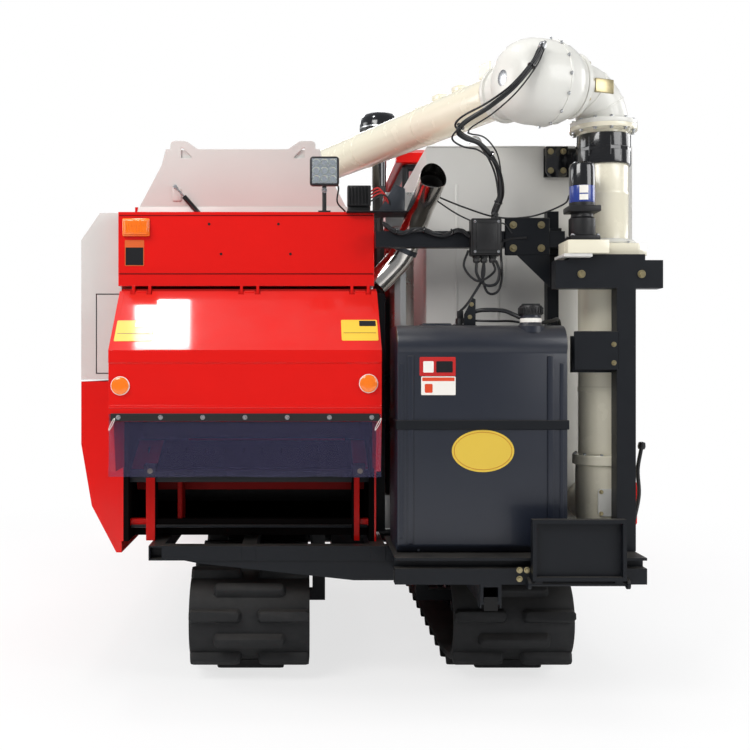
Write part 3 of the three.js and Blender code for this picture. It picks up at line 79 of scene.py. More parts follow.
def add_camera():
    """Level camera behind the machine, with its optical axis left of the picture's middle."""
    data = bpy.data.cameras.new("camera")
    data.lens, data.sensor_width = 52.8, 36.0
    data.shift_x, data.shift_y = 0.10, -0.0067
    camera = bpy.data.objects.new("camera", data)
    camera.location = (-0.25, -6.75, 1.30)
    camera.rotation_euler = (math.radians(90), 0, 0)
    scene.collection.objects.link(camera)
    scene.camera = camera


def add_lamp(name, place, target, size, power, color=(1, 1, 1), glossy=True):
    """A soft rectangular lamp that looks at target."""
    data = bpy.data.lights.new(name, "AREA")
    data.shape, data.size, data.size_y = "RECTANGLE", size[0], size[1]
    data.energy, data.color = power, color
    lamp = bpy.data.objects.new(name, data)
    lamp.location = place
    lamp.rotation_euler = (Vector(target) - Vector(place)).to_track_quat("-Z", "Y").to_euler()
    lamp.visible_glossy = glossy
    scene.collection.objects.link(lamp)


def add_world():
    """Pale even world; camera and transmission rays see it white."""
    world = bpy.data.worlds.new("studio")
    scene.world = world
    world.use_nodes = True
    nodes, links = world.node_tree.nodes, world.node_tree.links
    nodes.clear()
    path = nodes.new("ShaderNodeLightPath")
    soft, white = nodes.new("ShaderNodeBackground"), nodes.new("ShaderNodeBackground")
    set_values(soft, {"Color": (0.93, 0.95, 1.0, 1), "Strength": 0.32})
    set_values(white, {"Color": (1, 1, 1, 1), "Strength": 1.0})
    either = nodes.new("ShaderNodeMath")
    either.operation = "MAXIMUM"
    links.new(path.outputs["Is Camera Ray"], either.inputs[0])
    links.new(path.outputs["Is Transmission Ray"], either.inputs[1])
    mix, out = nodes.new("ShaderNodeMixShader"), nodes.new("ShaderNodeOutputWorld")
    links.new(either.outputs[0], mix.inputs["Fac"])
    links.new(soft.outputs[0], mix.inputs[1])
    links.new(white.outputs[0], mix.inputs[2])
    links.new(mix.outputs[0], out.inputs["Surface"])


def add_floor():
    """White floor that keeps the machine's shadow."""
    mesh = bpy.data.meshes.new("floor")
    side = 60
    mesh.from_pydata([(-side, -side, 0), (side, -side, 0), (side, side, 0), (-side, side, 0)], [],
                     [(0, 1, 2, 3)])
    floor = bpy.data.objects.new("floor", mesh)
    floor.location.z = cad_box[0][2] - FLOOR_DROP
    scene.collection.objects.link(floor)
    material = bpy.data.materials.new("floor_white")
    material.use_nodes = True
    nodes, links = material.node_tree.nodes, material.node_tree.links
    shader = nodes["Principled BSDF"]
    set_values(shader, {"Base Color": (0.9, 0.9, 0.9, 1), "Roughness": 0.9})
    glow, mix = nodes.new("ShaderNodeEmission"), nodes.new("ShaderNodeMixShader")
    glow.inputs["Color"].default_value = (1, 1, 1, 1)
    path, share = nodes.new("ShaderNodeLightPath"), nodes.new("ShaderNodeMath")
    share.operation = "MULTIPLY"
    links.new(path.outputs["Is Camera Ray"], share.inputs[0])
    place, distance, rise = (nodes.new("ShaderNodeNewGeometry"), nodes.new("ShaderNodeVectorMath"),
                             nodes.new("ShaderNodeMapRange"))
    distance.operation = "LENGTH"
    links.new(place.outputs["Position"], distance.inputs[0])
    links.new(distance.outputs["Value"], rise.inputs["Value"])
    set_values(rise, {"From Min": 2.3, "From Max": 4.6, "To Min": 0.73, "To Max": 1.0})
    links.new(rise.outputs["Result"], share.inputs[1])
    links.new(share.outputs[0], mix.inputs["Fac"])
    links.new(shader.outputs[0], mix.inputs[1])
    links.new(glow.outputs[0], mix.inputs[2])
    links.new(mix.outputs[0], nodes["Material Output"].inputs["Surface"])
    mesh.materials.append(material)


def set_stage():
    """Camera, world, lamps and floor."""
    add_camera()
    scene.view_settings.view_transform = "Standard"
    add_world()
    add_lamp("key", (-3.2, -6.0, 5.2), (-0.3, -1.5, 1.2), (3.2, 2.4), 225, (1, 0.99, 0.97))
    add_lamp("fill", (4.6, -5.4, 3.4), (0.4, -1.5, 1.1), (3.0, 3.0), 130)
    add_lamp("top", (0, -0.6, 7.0), (0, -0.4, 0), (5.0, 5.0), 190, glossy=False)
    add_lamp("hood_patch", (-1.31, -1.70, 5.5), (-1.31, -1.70, 0), (0.42, 0.45), 26)
    add_lamp("front", (1.5, 7.5, 4.5), (0, 1.0, 1.0), (4.0, 3.0), 220)
    add_lamp("left", (-7.0, 0.5, 3.6), (-0.8, 0, 1.0), (4.0, 3.0), 150)
    add_lamp("right", (7.0, 0.5, 3.6), (0.8, 0, 1.0), (4.0, 3.0), 150)
    add_floor()


# ------------------------------------------------------------------ materials

def srgb(r, g, b):
    """8-bit screen colour to linear."""
    return tuple((c / 255 / 12.92) if c / 255 <= 0.04045 else ((c / 255 + 0.055) / 1.055) ** 2.4 for c
                 in (r, g, b))


def surface(name, color, rough, rough_spread=0.08, metal=0.0, coat=0.0, bump=0.0, bump_scale=300.0,
            mottle=0.05, mottle_scale=6.0, dust=0.0, dust_color=(0.42, 0.38, 0.32), spec=0.5):
    """Painted, moulded or bare surface: mottled colour, uneven gloss, fine bump and dust on what faces up."""
    material = bpy.data.materials.new(name)
    material.use_nodes = True
    nodes, links = material.node_tree.nodes, material.node_tree.links
    shader = nodes["Principled BSDF"]
    set_values(shader, {"Metallic": metal, "Coat Weight": coat, "Coat Roughness": 0.06,
                        "Specular IOR Level": spec})
    place = nodes.new("ShaderNodeTexCoord")
    noise = set_values(nodes.new("ShaderNodeTexNoise"),
                       {"Scale": mottle_scale, "Detail": 6.0, "Roughness": 0.6})
    links.new(place.outputs["Object"], noise.inputs["Vector"])
    tint = nodes.new("ShaderNodeMix")
    tint.data_type = "RGBA"
    set_values(tint, {6: (*[c * (1 - mottle) for c in color], 1),
                      7: (*[min(1, c * (1 + mottle)) for c in color], 1)})
    links.new(noise.outputs["Fac"], tint.inputs[0])
    base = tint.outputs[2]
    if dust > 0:
        base = add_dust(material, base, dust, dust_color)
    links.new(base, shader.inputs["Base Color"])
    gloss = set_values(nodes.new("ShaderNodeMapRange"),
                       {"To Min": max(0.02, rough - rough_spread),
                        "To Max": min(1.0, rough + rough_spread)})
    smear = set_values(nodes.new("ShaderNodeTexNoise"), {"Scale": mottle_scale * 2.7, "Detail": 8.0})
    links.new(place.outputs["Object"], smear.inputs["Vector"])
    links.new(smear.outputs["Fac"], gloss.inputs["Value"])
    links.new(gloss.outputs["Result"], shader.inputs["Roughness"])
    if bump > 0:
        grain = set_values(nodes.new("ShaderNodeTexNoise"), {"Scale": bump_scale, "Detail": 3.0})
        links.new(place.outputs["Object"], grain.inputs["Vector"])
        relief = set_values(nodes.new("ShaderNodeBump"), {"Strength": bump, "Distance": 0.002})
        links.new(grain.outputs["Fac"], relief.inputs["Height"])
        links.new(relief.outputs["Normal"], shader.inputs["Normal"])
    return material


def add_dust(material, base, amount, color):
    """Dust gathers on upward faces, in patches."""
    nodes, links = material.node_tree.nodes, material.node_tree.links
    face, split = nodes.new("ShaderNodeNewGeometry"), nodes.new("ShaderNodeSeparateXYZ")
    links.new(face.outputs["Normal"], split.inputs[0])
    patches = set_values(nodes.new("ShaderNodeTexNoise"), {"Scale": 9.0, "Detail": 8.0})
    links.new(nodes.new("ShaderNodeTexCoord").outputs["Object"], patches.inputs["Vector"])
    up = set_values(nodes.new("ShaderNodeMapRange"), {"From Min": 0.2, "To Max": amount})
    links.new(split.outputs["Z"], up.inputs["Value"])
    both = nodes.new("ShaderNodeMath")
    both.operation = "MULTIPLY"
    links.new(up.outputs["Result"], both.inputs[0])
    links.new(patches.outputs["Fac"], both.inputs[1])
    mix = nodes.new("ShaderNodeMix")
    mix.data_type = "RGBA"
    links.new(both.outputs[0], mix.inputs[0])
    links.new(base, mix.inputs[6])
    mix.inputs[7].default_value = (*color, 1)
    return mix.outputs[2]


def paint_shade_inside(material, low, high):
    """Near-black painted shade where the surface lies inside the given box of the object's own space."""
    nodes, links = material.node_tree.nodes, material.node_tree.links
    shader = nodes["Principled BSDF"]
    place, split = nodes.new("ShaderNodeTexCoord"), nodes.new("ShaderNodeSeparateXYZ")
    links.new(place.outputs["Object"], split.inputs[0])
    inside = None
    for axis, a, b in zip("XYZ", low, high):
        for operation, limit in (("GREATER_THAN", a), ("LESS_THAN", b)):
            test = nodes.new("ShaderNodeMath")
            test.operation = operation
            test.inputs[1].default_value = limit
            links.new(split.outputs[axis], test.inputs[0])
            if inside is None:
                inside = test
                continue
            both = nodes.new("ShaderNodeMath")
            both.operation = "MULTIPLY"
            links.new(inside.outputs[0], both.inputs[0])
            links.new(test.outputs[0], both.inputs[1])
            inside = both
    # painted shade: a near-black diffuse takes the place of the paint inside the box
    dark, mix = nodes.new("ShaderNodeBsdfDiffuse"), nodes.new("ShaderNodeMixShader")
    dark.inputs["Color"].default_value = (0.006, 0.005, 0.005, 1)
    links.new(inside.outputs[0], mix.inputs["Fac"])
    links.new(shader.outputs[0], mix.inputs[1])
    links.new(dark.outputs[0], mix.inputs[2])
    links.new(mix.outputs[0], nodes["Material Output"].inputs["Surface"])


def brushed(name, color, rough, scale=(4, 4, 260), bump=0.15):
    """Bare metal with drawn streaks along one axis."""
    material = surface(name, color, rough, 0.12, metal=1.0, mottle=0.12, mottle_scale=3.0)
    nodes, links = material.node_tree.nodes, material.node_tree.links
    place, stretch = nodes.new("ShaderNodeTexCoord"), nodes.new("ShaderNodeMapping")
    stretch.inputs["Scale"].default_value = scale
    streaks, relief = nodes.new("ShaderNodeTexNoise"), nodes.new("ShaderNodeBump")
    set_values(streaks, {"Scale": 3.0, "Detail": 5.0})
    set_values(relief, {"Strength": bump, "Distance": 0.001})
    links.new(place.outputs["Object"], stretch.inputs["Vector"])
    links.new(stretch.outputs["Vector"], streaks.inputs["Vector"])
    links.new(streaks.outputs["Fac"], relief.inputs["Height"])
    links.new(relief.outputs["Normal"], nodes["Principled BSDF"].inputs["Normal"])
    return material


def clear_film(name, color, rough, alpha):
    """Thin clear plastic sheet: glossy, tinted and mostly see-through."""
    material = surface(name, color, rough, 0.03, mottle=0.06, mottle_scale=3.0, bump=0.04, bump_scale=5.0)
    shader = material.node_tree.nodes["Principled BSDF"]
    for link in shader.inputs["Normal"].links:
        material.node_tree.links.remove(link)
    set_values(shader, {"Alpha": alpha, "Specular IOR Level": 0.8})
    return material


def glowing_lens(name, color, rough=0.15, ridges=180.0):
    """Moulded lens plastic with a fine prism pattern."""
    material = surface(name, color, rough, 0.04, coat=0.8, mottle=0.10, mottle_scale=40.0)
    nodes, links = material.node_tree.nodes, material.node_tree.links
    place, waves = nodes.new("ShaderNodeTexCoord"), nodes.new("ShaderNodeTexVoronoi")
    waves.inputs["Scale"].default_value = ridges
    relief = set_values(nodes.new("ShaderNodeBump"), {"Strength": 0.35, "Distance": 0.001})
    links.new(place.outputs["Object"], waves.inputs["Vector"])
    links.new(waves.outputs["Distance"], relief.inputs["Height"])
    links.new(relief.outputs["Normal"], nodes["Principled BSDF"].inputs["Normal"])
    return material


RED = surface("red_paint", srgb(220, 15, 7), 0.34, 0.05, coat=0.65, spec=0.06, bump=0.05, bump_scale=220,
              mottle=0.04, dust=0.10)
DARK_RED = surface("inner_red_paint", srgb(120, 6, 4), 0.5, 0.1, bump=0.06, mottle=0.25, mottle_scale=9,
                   spec=0.1)
GREY = surface("grey_paint", srgb(212, 211, 207), 0.38, 0.07, coat=0.15, bump=0.05, bump_scale=260,
               mottle=0.03, dust=0.2)
CREAM = surface("cream_paint", srgb(235, 229, 207), 0.26, 0.06, coat=0.5, bump=0.04, mottle=0.03, dust=0.12)
CAST_CREAM = surface("cream_casting", srgb(224, 223, 216), 0.36, 0.08, coat=0.3, bump=0.35, bump_scale=420,
                     mottle=0.05)
FRAME = surface("frame_paint", srgb(17, 20, 25), 0.45, 0.08, coat=0.03, spec=0.25, bump=0.10,
                bump_scale=340, mottle=0.18, dust=0.18)
NAVY = surface("tank_plastic", srgb(26, 31, 43), 0.36, 0.06, coat=0.12, bump=0.22, bump_scale=520,
               mottle=0.10, dust=0.16)
BLACK = surface("black_plastic", srgb(15, 15, 17), 0.44, 0.08, bump=0.18, bump_scale=600, mottle=0.2)
GLOSS_BLACK = surface("gloss_black", srgb(14, 15, 18), 0.16, 0.05, coat=0.6, bump=0.05, mottle=0.2)
RUBBER = surface("track_rubber", srgb(17, 18, 20), 0.74, 0.1, bump=0.4, bump_scale=380, mottle=0.25,
                 mottle_scale=14, dust=0.25, dust_color=(0.16, 0.14, 0.12))
CABLE = surface("cable_sheath", srgb(20, 21, 24), 0.38, 0.08, bump=0.10, mottle=0.2)
BOLT = surface("zinc_yellow", srgb(176, 164, 128), 0.32, 0.1, metal=1.0, mottle=0.25, mottle_scale=60)
ZINC = surface("zinc_bright", srgb(196, 198, 200), 0.28, 0.1, metal=1.0, mottle=0.12, mottle_scale=50)
STEEL = brushed("polished_steel", srgb(214, 210, 204), 0.13, (3, 3, 90))
GALVANISED = brushed("galvanised_sheet", srgb(200, 200, 198), 0.30, (6, 6, 40), 0.10)
DARK_STEEL = surface("dark_steel", srgb(70, 74, 80), 0.4, 0.1, metal=0.85, mottle=0.2, mottle_scale=20,
                     bump=0.1)
SHADOW = surface("deep_shadow", srgb(8, 8, 9), 0.9, 0.02)
AMBER = glowing_lens("amber_lens", srgb(255, 122, 0))
# Thresher body red with painted shade: near-black inside the rear outlet box
OUTLET = surface("red_paint_shade_inside", srgb(220, 15, 7), 0.34, 0.05, coat=0.65, spec=0.06, bump=0.05,
                 bump_scale=220, mottle=0.04)
paint_shade_inside(OUTLET, (-0.992, -2.140, 0.50), (0.062, 0.36, 1.60))
# Outlet frame red with painted shade: near-black inside the rear outlet box
OUTLET_FRAME = surface("outlet_frame_paint_shade_inside", srgb(196, 12, 6), 0.35, 0.05, coat=0.2, spec=0.06, bump=0.05,
                       mottle=0.1)
paint_shade_inside(OUTLET_FRAME, (-0.862, -2.60, 0.40), (-0.022, 0.40, 1.60))
WHITE_RIM = surface("white_rim", srgb(240, 236, 228), 0.35, 0.05, coat=0.4, mottle=0.03)
YELLOW = surface("yellow_label", srgb(247, 196, 48), 0.35, 0.05, coat=0.3, mottle=0.03)
GOLD_OVAL = surface("oval_label", srgb(222, 188, 66), 0.35, 0.05, coat=0.3, mottle=0.04)
BLUE = surface("motor_blue", srgb(34, 58, 140), 0.25, 0.05, coat=0.5, mottle=0.05)
CLEAR = clear_film("curtain_film", srgb(70, 68, 100), 0.08, 0.24)
GLASS = clear_film("lamp_glass", srgb(190, 200, 210), 0.05, 0.35)
LED = surface("led_reflector", srgb(196, 204, 176), 0.08, 0.03, metal=0.9, mottle=0.1, mottle_scale=80)
VINYL = surface("seat_vinyl", srgb(26, 26, 28), 0.52, 0.08, bump=0.5, bump_scale=700, mottle=0.12)


# ------------------------------------------------------------------ mesh makers

def finish_mesh(name, bm, material, body, sharp=35.0, replaces=None, smooth=True):
    """Puts a bmesh into the scene as a piece that rides on a body."""
    bmesh.ops.recalc_face_normals(bm, faces=bm.faces)
    for face in bm.faces:
        face.smooth = smooth
    limit = math.radians(sharp)
    for edge in bm.edges:
        edge.smooth = len(edge.link_faces) == 2 and edge.calc_face_angle(0) < limit
    mesh = bpy.data.meshes.new(name)
    bm.to_mesh(mesh)
    bm.free()
    mesh.materials.append(material)
    piece = bpy.data.objects.new(name, mesh)
    scene.collection.objects.link(piece)
    if body:
        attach(piece, body)
    if replaces:
        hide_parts(*([replaces] if isinstance(replaces, str) else replaces))
    return piece


def frame_along(direction):
    """Two unit vectors square to a direction."""
    way = Vector(direction).normalized()
    side = way.cross(UP)
    if side.length < 1e-4:
        side = way.cross(AHEAD)
    side.normalize()
    return way, side, side.cross(way).normalized()


def add_lathe(bm, profile, base, direction, steps=48):
    """Revolves [radius, distance] points about the line from base along direction."""
    way, side, up = frame_along(direction)
    base = Vector(base)
    rings = []
    for radius, distance in profile:
        centre = base + way * distance
        if radius < 1e-6:
            rings.append([bm.verts.new(centre)])
            continue
        rings.append([bm.verts.new(centre + (side * math.cos(i / steps * TAU) + up
                                             * math.sin(i / steps * TAU)) * radius) for i in range(steps)])
    for a, b in zip(rings, rings[1:]):
        for i in range(steps):
            j = (i + 1) % steps
            corners = [a[i % len(a)], a[j % len(a)], b[j % len(b)], b[i % len(b)]]
            unique = list(dict.fromkeys(corners))
            if len(unique) > 2:
                bm.faces.new(unique)


def round_bar(radius, length):
    """The lathe profile of a plain round bar."""
    return [(0, 0), (radius, 0), (radius, length), (0, length)]


def add_sweep(bm, points, radius, sides=16, radii=None):
    """A round tube along points, with a frame carried from point to point."""
    points = [Vector(p) for p in points]
    _, side, up = frame_along(points[1] - points[0])
    rings, last = [], (points[1] - points[0]).normalized()
    for k, point in enumerate(points):
        ahead = points[min(k + 1, len(points) - 1)] - points[max(k - 1, 0)]
        way = ahead.normalized()
        turn = last.rotation_difference(way)
        side, up, last = turn @ side, turn @ up, way
        r = radii[k] if radii else radius
        rings.append([bm.verts.new(point + (side * math.cos(i / sides * TAU) + up
                                            * math.sin(i / sides * TAU)) * r) for i in range(sides)])
    for a, b in zip(rings, rings[1:]):
        for i in range(sides):
            j = (i + 1) % sides
            bm.faces.new((a[i], a[j], b[j], b[i]))
    bm.faces.new(rings[0])
    bm.faces.new(list(reversed(rings[-1])))


def smooth_path(points, steps=8):
    """Catmull-Rom points through a given list."""
    points = [Vector(p) for p in points]
    ends = [points[0] * 2 - points[1]] + points + [points[-1] * 2 - points[-2]]
    path = []
    for a, b, c, d in zip(ends, ends[1:], ends[2:], ends[3:]):
        for i in range(steps):
            t = i / steps
            path.append(0.5 * ((2 * b) + (c - a) * t + (2 * a - 5 * b + 4 * c - d) * t * t
                               + (3 * b - a - 3 * c + d) * t ** 3))
    return path + [points[-1]]


def add_box(bm, low, high, bevel=0.0, segments=2, turn=None, about=None):
    """A box from corner to corner, with rounded edges."""
    low, high = Vector(low), Vector(high)
    made = bmesh.ops.create_cube(bm, size=1.0)["verts"]
    size, middle = high - low, (low + high) / 2
    for vert in made:
        vert.co = Vector(vert.co[i] * size[i] for i in range(3)) + middle
    faces = {face for vert in made for face in vert.link_faces}
    if bevel > 0:
        edges = {edge for vert in made for edge in vert.link_edges}
        done = bmesh.ops.bevel(bm, geom=list(edges), offset=bevel, segments=segments, affect="EDGES",
                               profile=0.5)
        faces = set(done["faces"]) | {f for f in faces if f.is_valid}
    if turn:
        verts = list({v for f in faces for v in f.verts})
        bmesh.ops.rotate(bm, verts=verts, cent=about or middle, matrix=turn)


def add_prism(bm, outline, axis, low, high, bevel=0.0):
    """Extrudes an outline: [y, z] along x, [x, z] along y, [x, y] along z."""
    place = {"x": lambda a, b, c: (c, a, b), "y": lambda a, b, c: (a, c, b), "z": lambda a, b,
             c: (a, b, c)}[axis]
    verts = [bm.verts.new(place(a, b, low)) for a, b in outline]
    edges = [bm.edges.new((verts[i], verts[(i + 1) % len(verts)])) for i in range(len(verts))]
    filled = bmesh.ops.triangle_fill(bm, use_beauty=True, use_dissolve=True, edges=edges)["geom"]
    faces = [g for g in filled if isinstance(g, bmesh.types.BMFace)]
    extruded = bmesh.ops.extrude_face_region(bm, geom=faces)["geom"]
    moved = [g for g in extruded if isinstance(g, bmesh.types.BMVert)]
    shift = Vector(place(0, 0, high - low))
    bmesh.ops.translate(bm, verts=moved, vec=shift)
    if bevel > 0:
        every = {f for v in moved for f in v.link_faces} | set(faces)
        sharp = [e for f in every for e in f.edges if len(e.link_faces) == 2 and e.calc_face_angle(0) > 0.5]
        bmesh.ops.bevel(bm, geom=list(set(sharp)), offset=bevel, segments=2, affect="EDGES", profile=0.5,
                        clamp_overlap=True)


def arc(centre, radius, start, end, steps=8):
    """Points on an arc, angles in degrees."""
    return [(centre[0] + radius * math.cos(math.radians(start + (end - start) * i / steps)),
             centre[1] + radius * math.sin(math.radians(start + (end - start) * i / steps))) for i
            in range(steps + 1)]


def rounded_rect(low, high, radius, steps=5):
    """Outline of a rectangle with round corners."""
    (x0, y0), (x1, y1) = low, high
    return (arc((x1 - radius, y0 + radius), radius, -90, 0, steps)
            + arc((x1 - radius, y1 - radius), radius, 0, 90, steps)
            + arc((x0 + radius, y1 - radius), radius, 90, 180, steps)
            + arc((x0 + radius, y0 + radius), radius, 180, 270, steps))


def add_bolt(bm, place, direction, size):
    """A hex bolt head on its washer."""
    way = Vector(direction).normalized()
    base = Vector(place)
    add_lathe(bm, round_bar(size * 1.45, size * 0.25), base, way, 16)
    base = base + way * size * 0.25
    add_lathe(bm, [(0, 0), (size, 0), (size, size * 0.75), (size * 0.8, size * 0.95), (0, size * 0.95)],
              base, way, 6)


def bolts(name, places, direction, body, size=0.009, material=None):
    """One piece with a bolt at each place."""
    bm = bmesh.new()
    for place in places:
        add_bolt(bm, place, direction, size)
    return finish_mesh(name, bm, material or BOLT, body, sharp=30)


def dress(node, material, bevel=0.003, segments=2):
    """A CAD node whose shape is right: its edges are softened and it gets its finish."""
    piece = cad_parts[node]
    piece.data.materials.clear()
    piece.data.materials.append(material)
    weld = piece.modifiers.new("weld", "WELD")
    weld.merge_threshold = WELD_REACH
    if bevel > 0:
        soft = piece.modifiers.new("soft_edges", "BEVEL")
        soft.width, soft.segments = bevel, segments
        soft.limit_method, soft.angle_limit = "ANGLE", SOFT_EDGE_ANGLE
        soft.harden_normals = False
    for polygon in piece.data.polygons:
        polygon.use_smooth = False
    return piece


# ------------------------------------------------------------------ shared places

UNLOAD_X, UNLOAD_Y, BOOM_Z = 0.990, -2.250, 2.443
BOOM_WAY = Vector((math.cos(math.radians(113.7)), math.sin(math.radians(113.7)), 0))
LIFT_WAY = Vector((-BOOM_WAY.y, BOOM_WAY.x, 0))
BELL = Vector((UNLOAD_X, UNLOAD_Y, BOOM_Z)) + LIFT_WAY * 0.337
HOOD_TOP = Vector((0, -2.172, 1.628))
HOOD_DOWN = Vector((0, -0.278, -0.250)).normalized()
HOOD_OUT = Vector((0, HOOD_DOWN.z, -HOOD_DOWN.y))
REAR = Vector((0, -1, 0))


def plate_on(name, body, corner, right, up, width, height, material, thick=0.0012, radius=0.004, lift=0.0):
    """A thin blank rounded plate on a face: corner is its lower left, right and up run along it."""
    right, up = Vector(right).normalized(), Vector(up).normalized()
    out = right.cross(up)
    bm = bmesh.new()
    add_prism(bm, rounded_rect((0, 0), (width, height), radius, 4), "z", lift, lift + thick)
    turn = Matrix((right, up, out)).transposed().to_4x4()
    bmesh.ops.transform(bm, matrix=Matrix.Translation(Vector(corner)) @ turn, verts=bm.verts)
    return finish_mesh(name, bm, material, body)


def label(name, body, corner, right, up, width, height, split, colors):
    """A blank two-colour warning plate: a coloured ground with a block over its upper share."""
    ground, block = colors
    plate_on(name, body, corner, right, up, width, height, ground)
    inset = 0.004
    across, along = Vector(right).normalized(), Vector(up).normalized()
    place = Vector(corner) + across * inset + along * (height * (1 - split))
    plate_on(name + "_block", body, place, right, up, width - inset * 2, height * split - inset, block,
             0.0004, 0.002, 0.0012)


# ------------------------------------------------------------------ rear hood and its curtain

def hood_face(x, along):
    """A point of the hood's sloped face: x, and metres down the slope."""
    return Vector((x, 0, 0)) + HOOD_TOP + HOOD_DOWN * along


def rear_hood():
    dress("rear_hood", RED, 0.005, 3)
    down = HOOD_DOWN
    for name, left, along, width in (("left", -0.985, 0.322, 0.150), ("right", -0.085, 0.318, 0.145)):
        corner = hood_face(left, along) + HOOD_OUT * 0.0004
        plate_on(f"hood_label_{name}", "rear_hood", corner, RIGHT, -down, width, 0.128, YELLOW, 0.0012, 0.006)
        face = corner + HOOD_OUT * 0.0014
        plate_on(f"hood_label_{name}_head", "rear_hood", face + RIGHT * (width * 0.50) - down * 0.088,
                 RIGHT, -down, width * 0.46, 0.034, GLOSS_BLACK, 0.0003, 0.003)
        plate_on(f"hood_label_{name}_rule", "rear_hood", face + RIGHT * 0.008 - down * 0.045, RIGHT, -down,
                 width - 0.016, 0.0025, DARK_STEEL, 0.0003, 0.001)
    y = -2.4445
    for name, x, z in (("left", -0.953, 1.238), ("right", 0.018, 1.247)):
        bm = bmesh.new()
        add_lathe(bm, [(0, 0), (0.0368, 0), (0.0374, 0.005), (0.0362, 0.009), (0.0342, 0.010)], (x, y, z),
                  REAR, 48)
        finish_mesh(f"reflector_rim_{name}", bm, WHITE_RIM, "rear_hood", 50)
        bm = bmesh.new()
        add_lathe(bm, [(0.0345, 0.004), (0.0345, 0.0115), (0.031, 0.0142), (0.016, 0.0156), (0, 0.0160)],
                  (x, y, z), REAR, 48)
        finish_mesh(f"reflector_lens_{name}", bm, AMBER, "rear_hood", 50)
    bm = bmesh.new()
    add_box(bm, (-0.999, y - 0.0018, 1.150), (0.069, y + 0.004, 1.1625), 0.0017)
    finish_mesh("hood_crease", bm, RED, "rear_hood")


def curtain():
    """Clear plastic curtain: held along its top edge, with soft waves that deepen towards its free edge."""
    dress("curtain_strip", BLACK, 0.0015)
    low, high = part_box("curtain_strip")
    face = low.y
    bolts("curtain_bolts", [(low.x + 0.03 + (high.x - low.x - 0.06) * i / 6, face, (low.z + high.z) / 2)
                            for i in range(7)], REAR, "rear_hood", 0.0065, ZINC)
    film_low, film_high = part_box("hood_curtain")
    film_high.z = high.z - 0.002
    columns, rows = 150, 30
    bm = bmesh.new()
    grid = []
    y0 = (film_low.y + film_high.y) / 2
    for j in range(rows + 1):
        v = j / rows
        line = []
        for i in range(columns + 1):
            u = i / columns
            free = max(0.0, v - 0.18) / 0.82
            wave = (math.sin(u * 21 + 0.6) * 0.45 + math.sin(u * 34 + 2.0) * 0.3 + math.sin(u * 9 + v * 2)
                    * 0.5)
            y = y0 - free * free * 0.006 * (1 + wave)
            edge = math.sin(u * 17 + 1) * 0.0012 * free
            line.append(bm.verts.new((film_low.x + (film_high.x - film_low.x) * u, y,
                                      film_high.z + (film_low.z - film_high.z) * v + edge)))
        grid.append(line)
    for a, b in zip(grid, grid[1:]):
        for i in range(columns):
            bm.faces.new((a[i], a[i + 1], b[i + 1], b[i]))
    film = finish_mesh("clear_curtain", bm, CLEAR, "rear_hood", 80, "hood_curtain")
    thick = film.modifiers.new("thickness", "SOLIDIFY")
    thick.thickness, thick.offset = 0.0012, 0
    for name, x in (("left", -0.985), ("right", 0.055)):
        bm = bmesh.new()
        loop = [(x + math.cos(a) * 0.004 + math.sin(a) * 0.012, face - 0.003 - math.sin(a) * 0.003,
                 1.088 + math.sin(a) * 0.024) for a in [k / 14 * TAU for k in range(15)]]
        add_sweep(bm, loop, 0.0013, 6)
        finish_mesh(f"curtain_tie_{name}", bm, WHITE_RIM, "rear_hood")


# ------------------------------------------------------------------ upper box, covers, end plate

def upper_box():
    dress("rear_upper_box", RED, 0.004, 3)
    low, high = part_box("rear_upper_box")
    y = -2.1505
    bm = bmesh.new()
    for x in (-0.63, -0.34):
        for z in (1.785, 1.910):
            add_lathe(bm, round_bar(0.0055, 0.0008), (x + (0.05 if z < 1.8 else 0), y, z), REAR, 16)
    finish_mesh("upper_box_holes", bm, SHADOW, "root")
    bm = bmesh.new()
    add_box(bm, (low.x + 0.004, y - 0.0022, 1.700), (high.x - 0.004, y + 0.002, 1.7045), 0.001)
    add_box(bm, (low.x + 0.004, y - 0.0015, 1.944), (high.x - 0.004, y + 0.002, 1.948), 0.0008)
    finish_mesh("upper_box_seams", bm, DARK_RED, "root")
    bm = bmesh.new()
    add_box(bm, (-0.992, y - 0.010, 1.858), (-0.878, y, 1.934), 0.006, 3)
    finish_mesh("marker_lamp_base", bm, AMBER, "root")
    bm = bmesh.new()
    add_box(bm, (-0.988, y - 0.030, 1.863), (-0.882, y - 0.008, 1.929), 0.007, 4)
    for k in range(9):
        x = -0.978 + 0.0108 * k
        add_box(bm, (x, y - 0.0325, 1.870), (x + 0.0055, y - 0.028, 1.922), 0.0015, 1)
    finish_mesh("marker_lamp_lens", bm, AMBER, "root")
    bolts("marker_lamp_screws", [(-0.984, y - 0.010, 1.896), (-0.886, y - 0.010, 1.896)], REAR, "root",
          0.003, ZINC)
    orange = surface("label_orange", srgb(214, 96, 30), 0.4)
    plate_on("upper_box_label", "root", (-0.982, y - 0.0003, 1.735), RIGHT, UP, 0.080, 0.108, orange,
             0.0012, 0.004)
    plate_on("upper_box_label_face", "root", (-0.979, y - 0.0016, 1.738), RIGHT, UP, 0.074, 0.074,
             GLOSS_BLACK, 0.0004, 0.002)


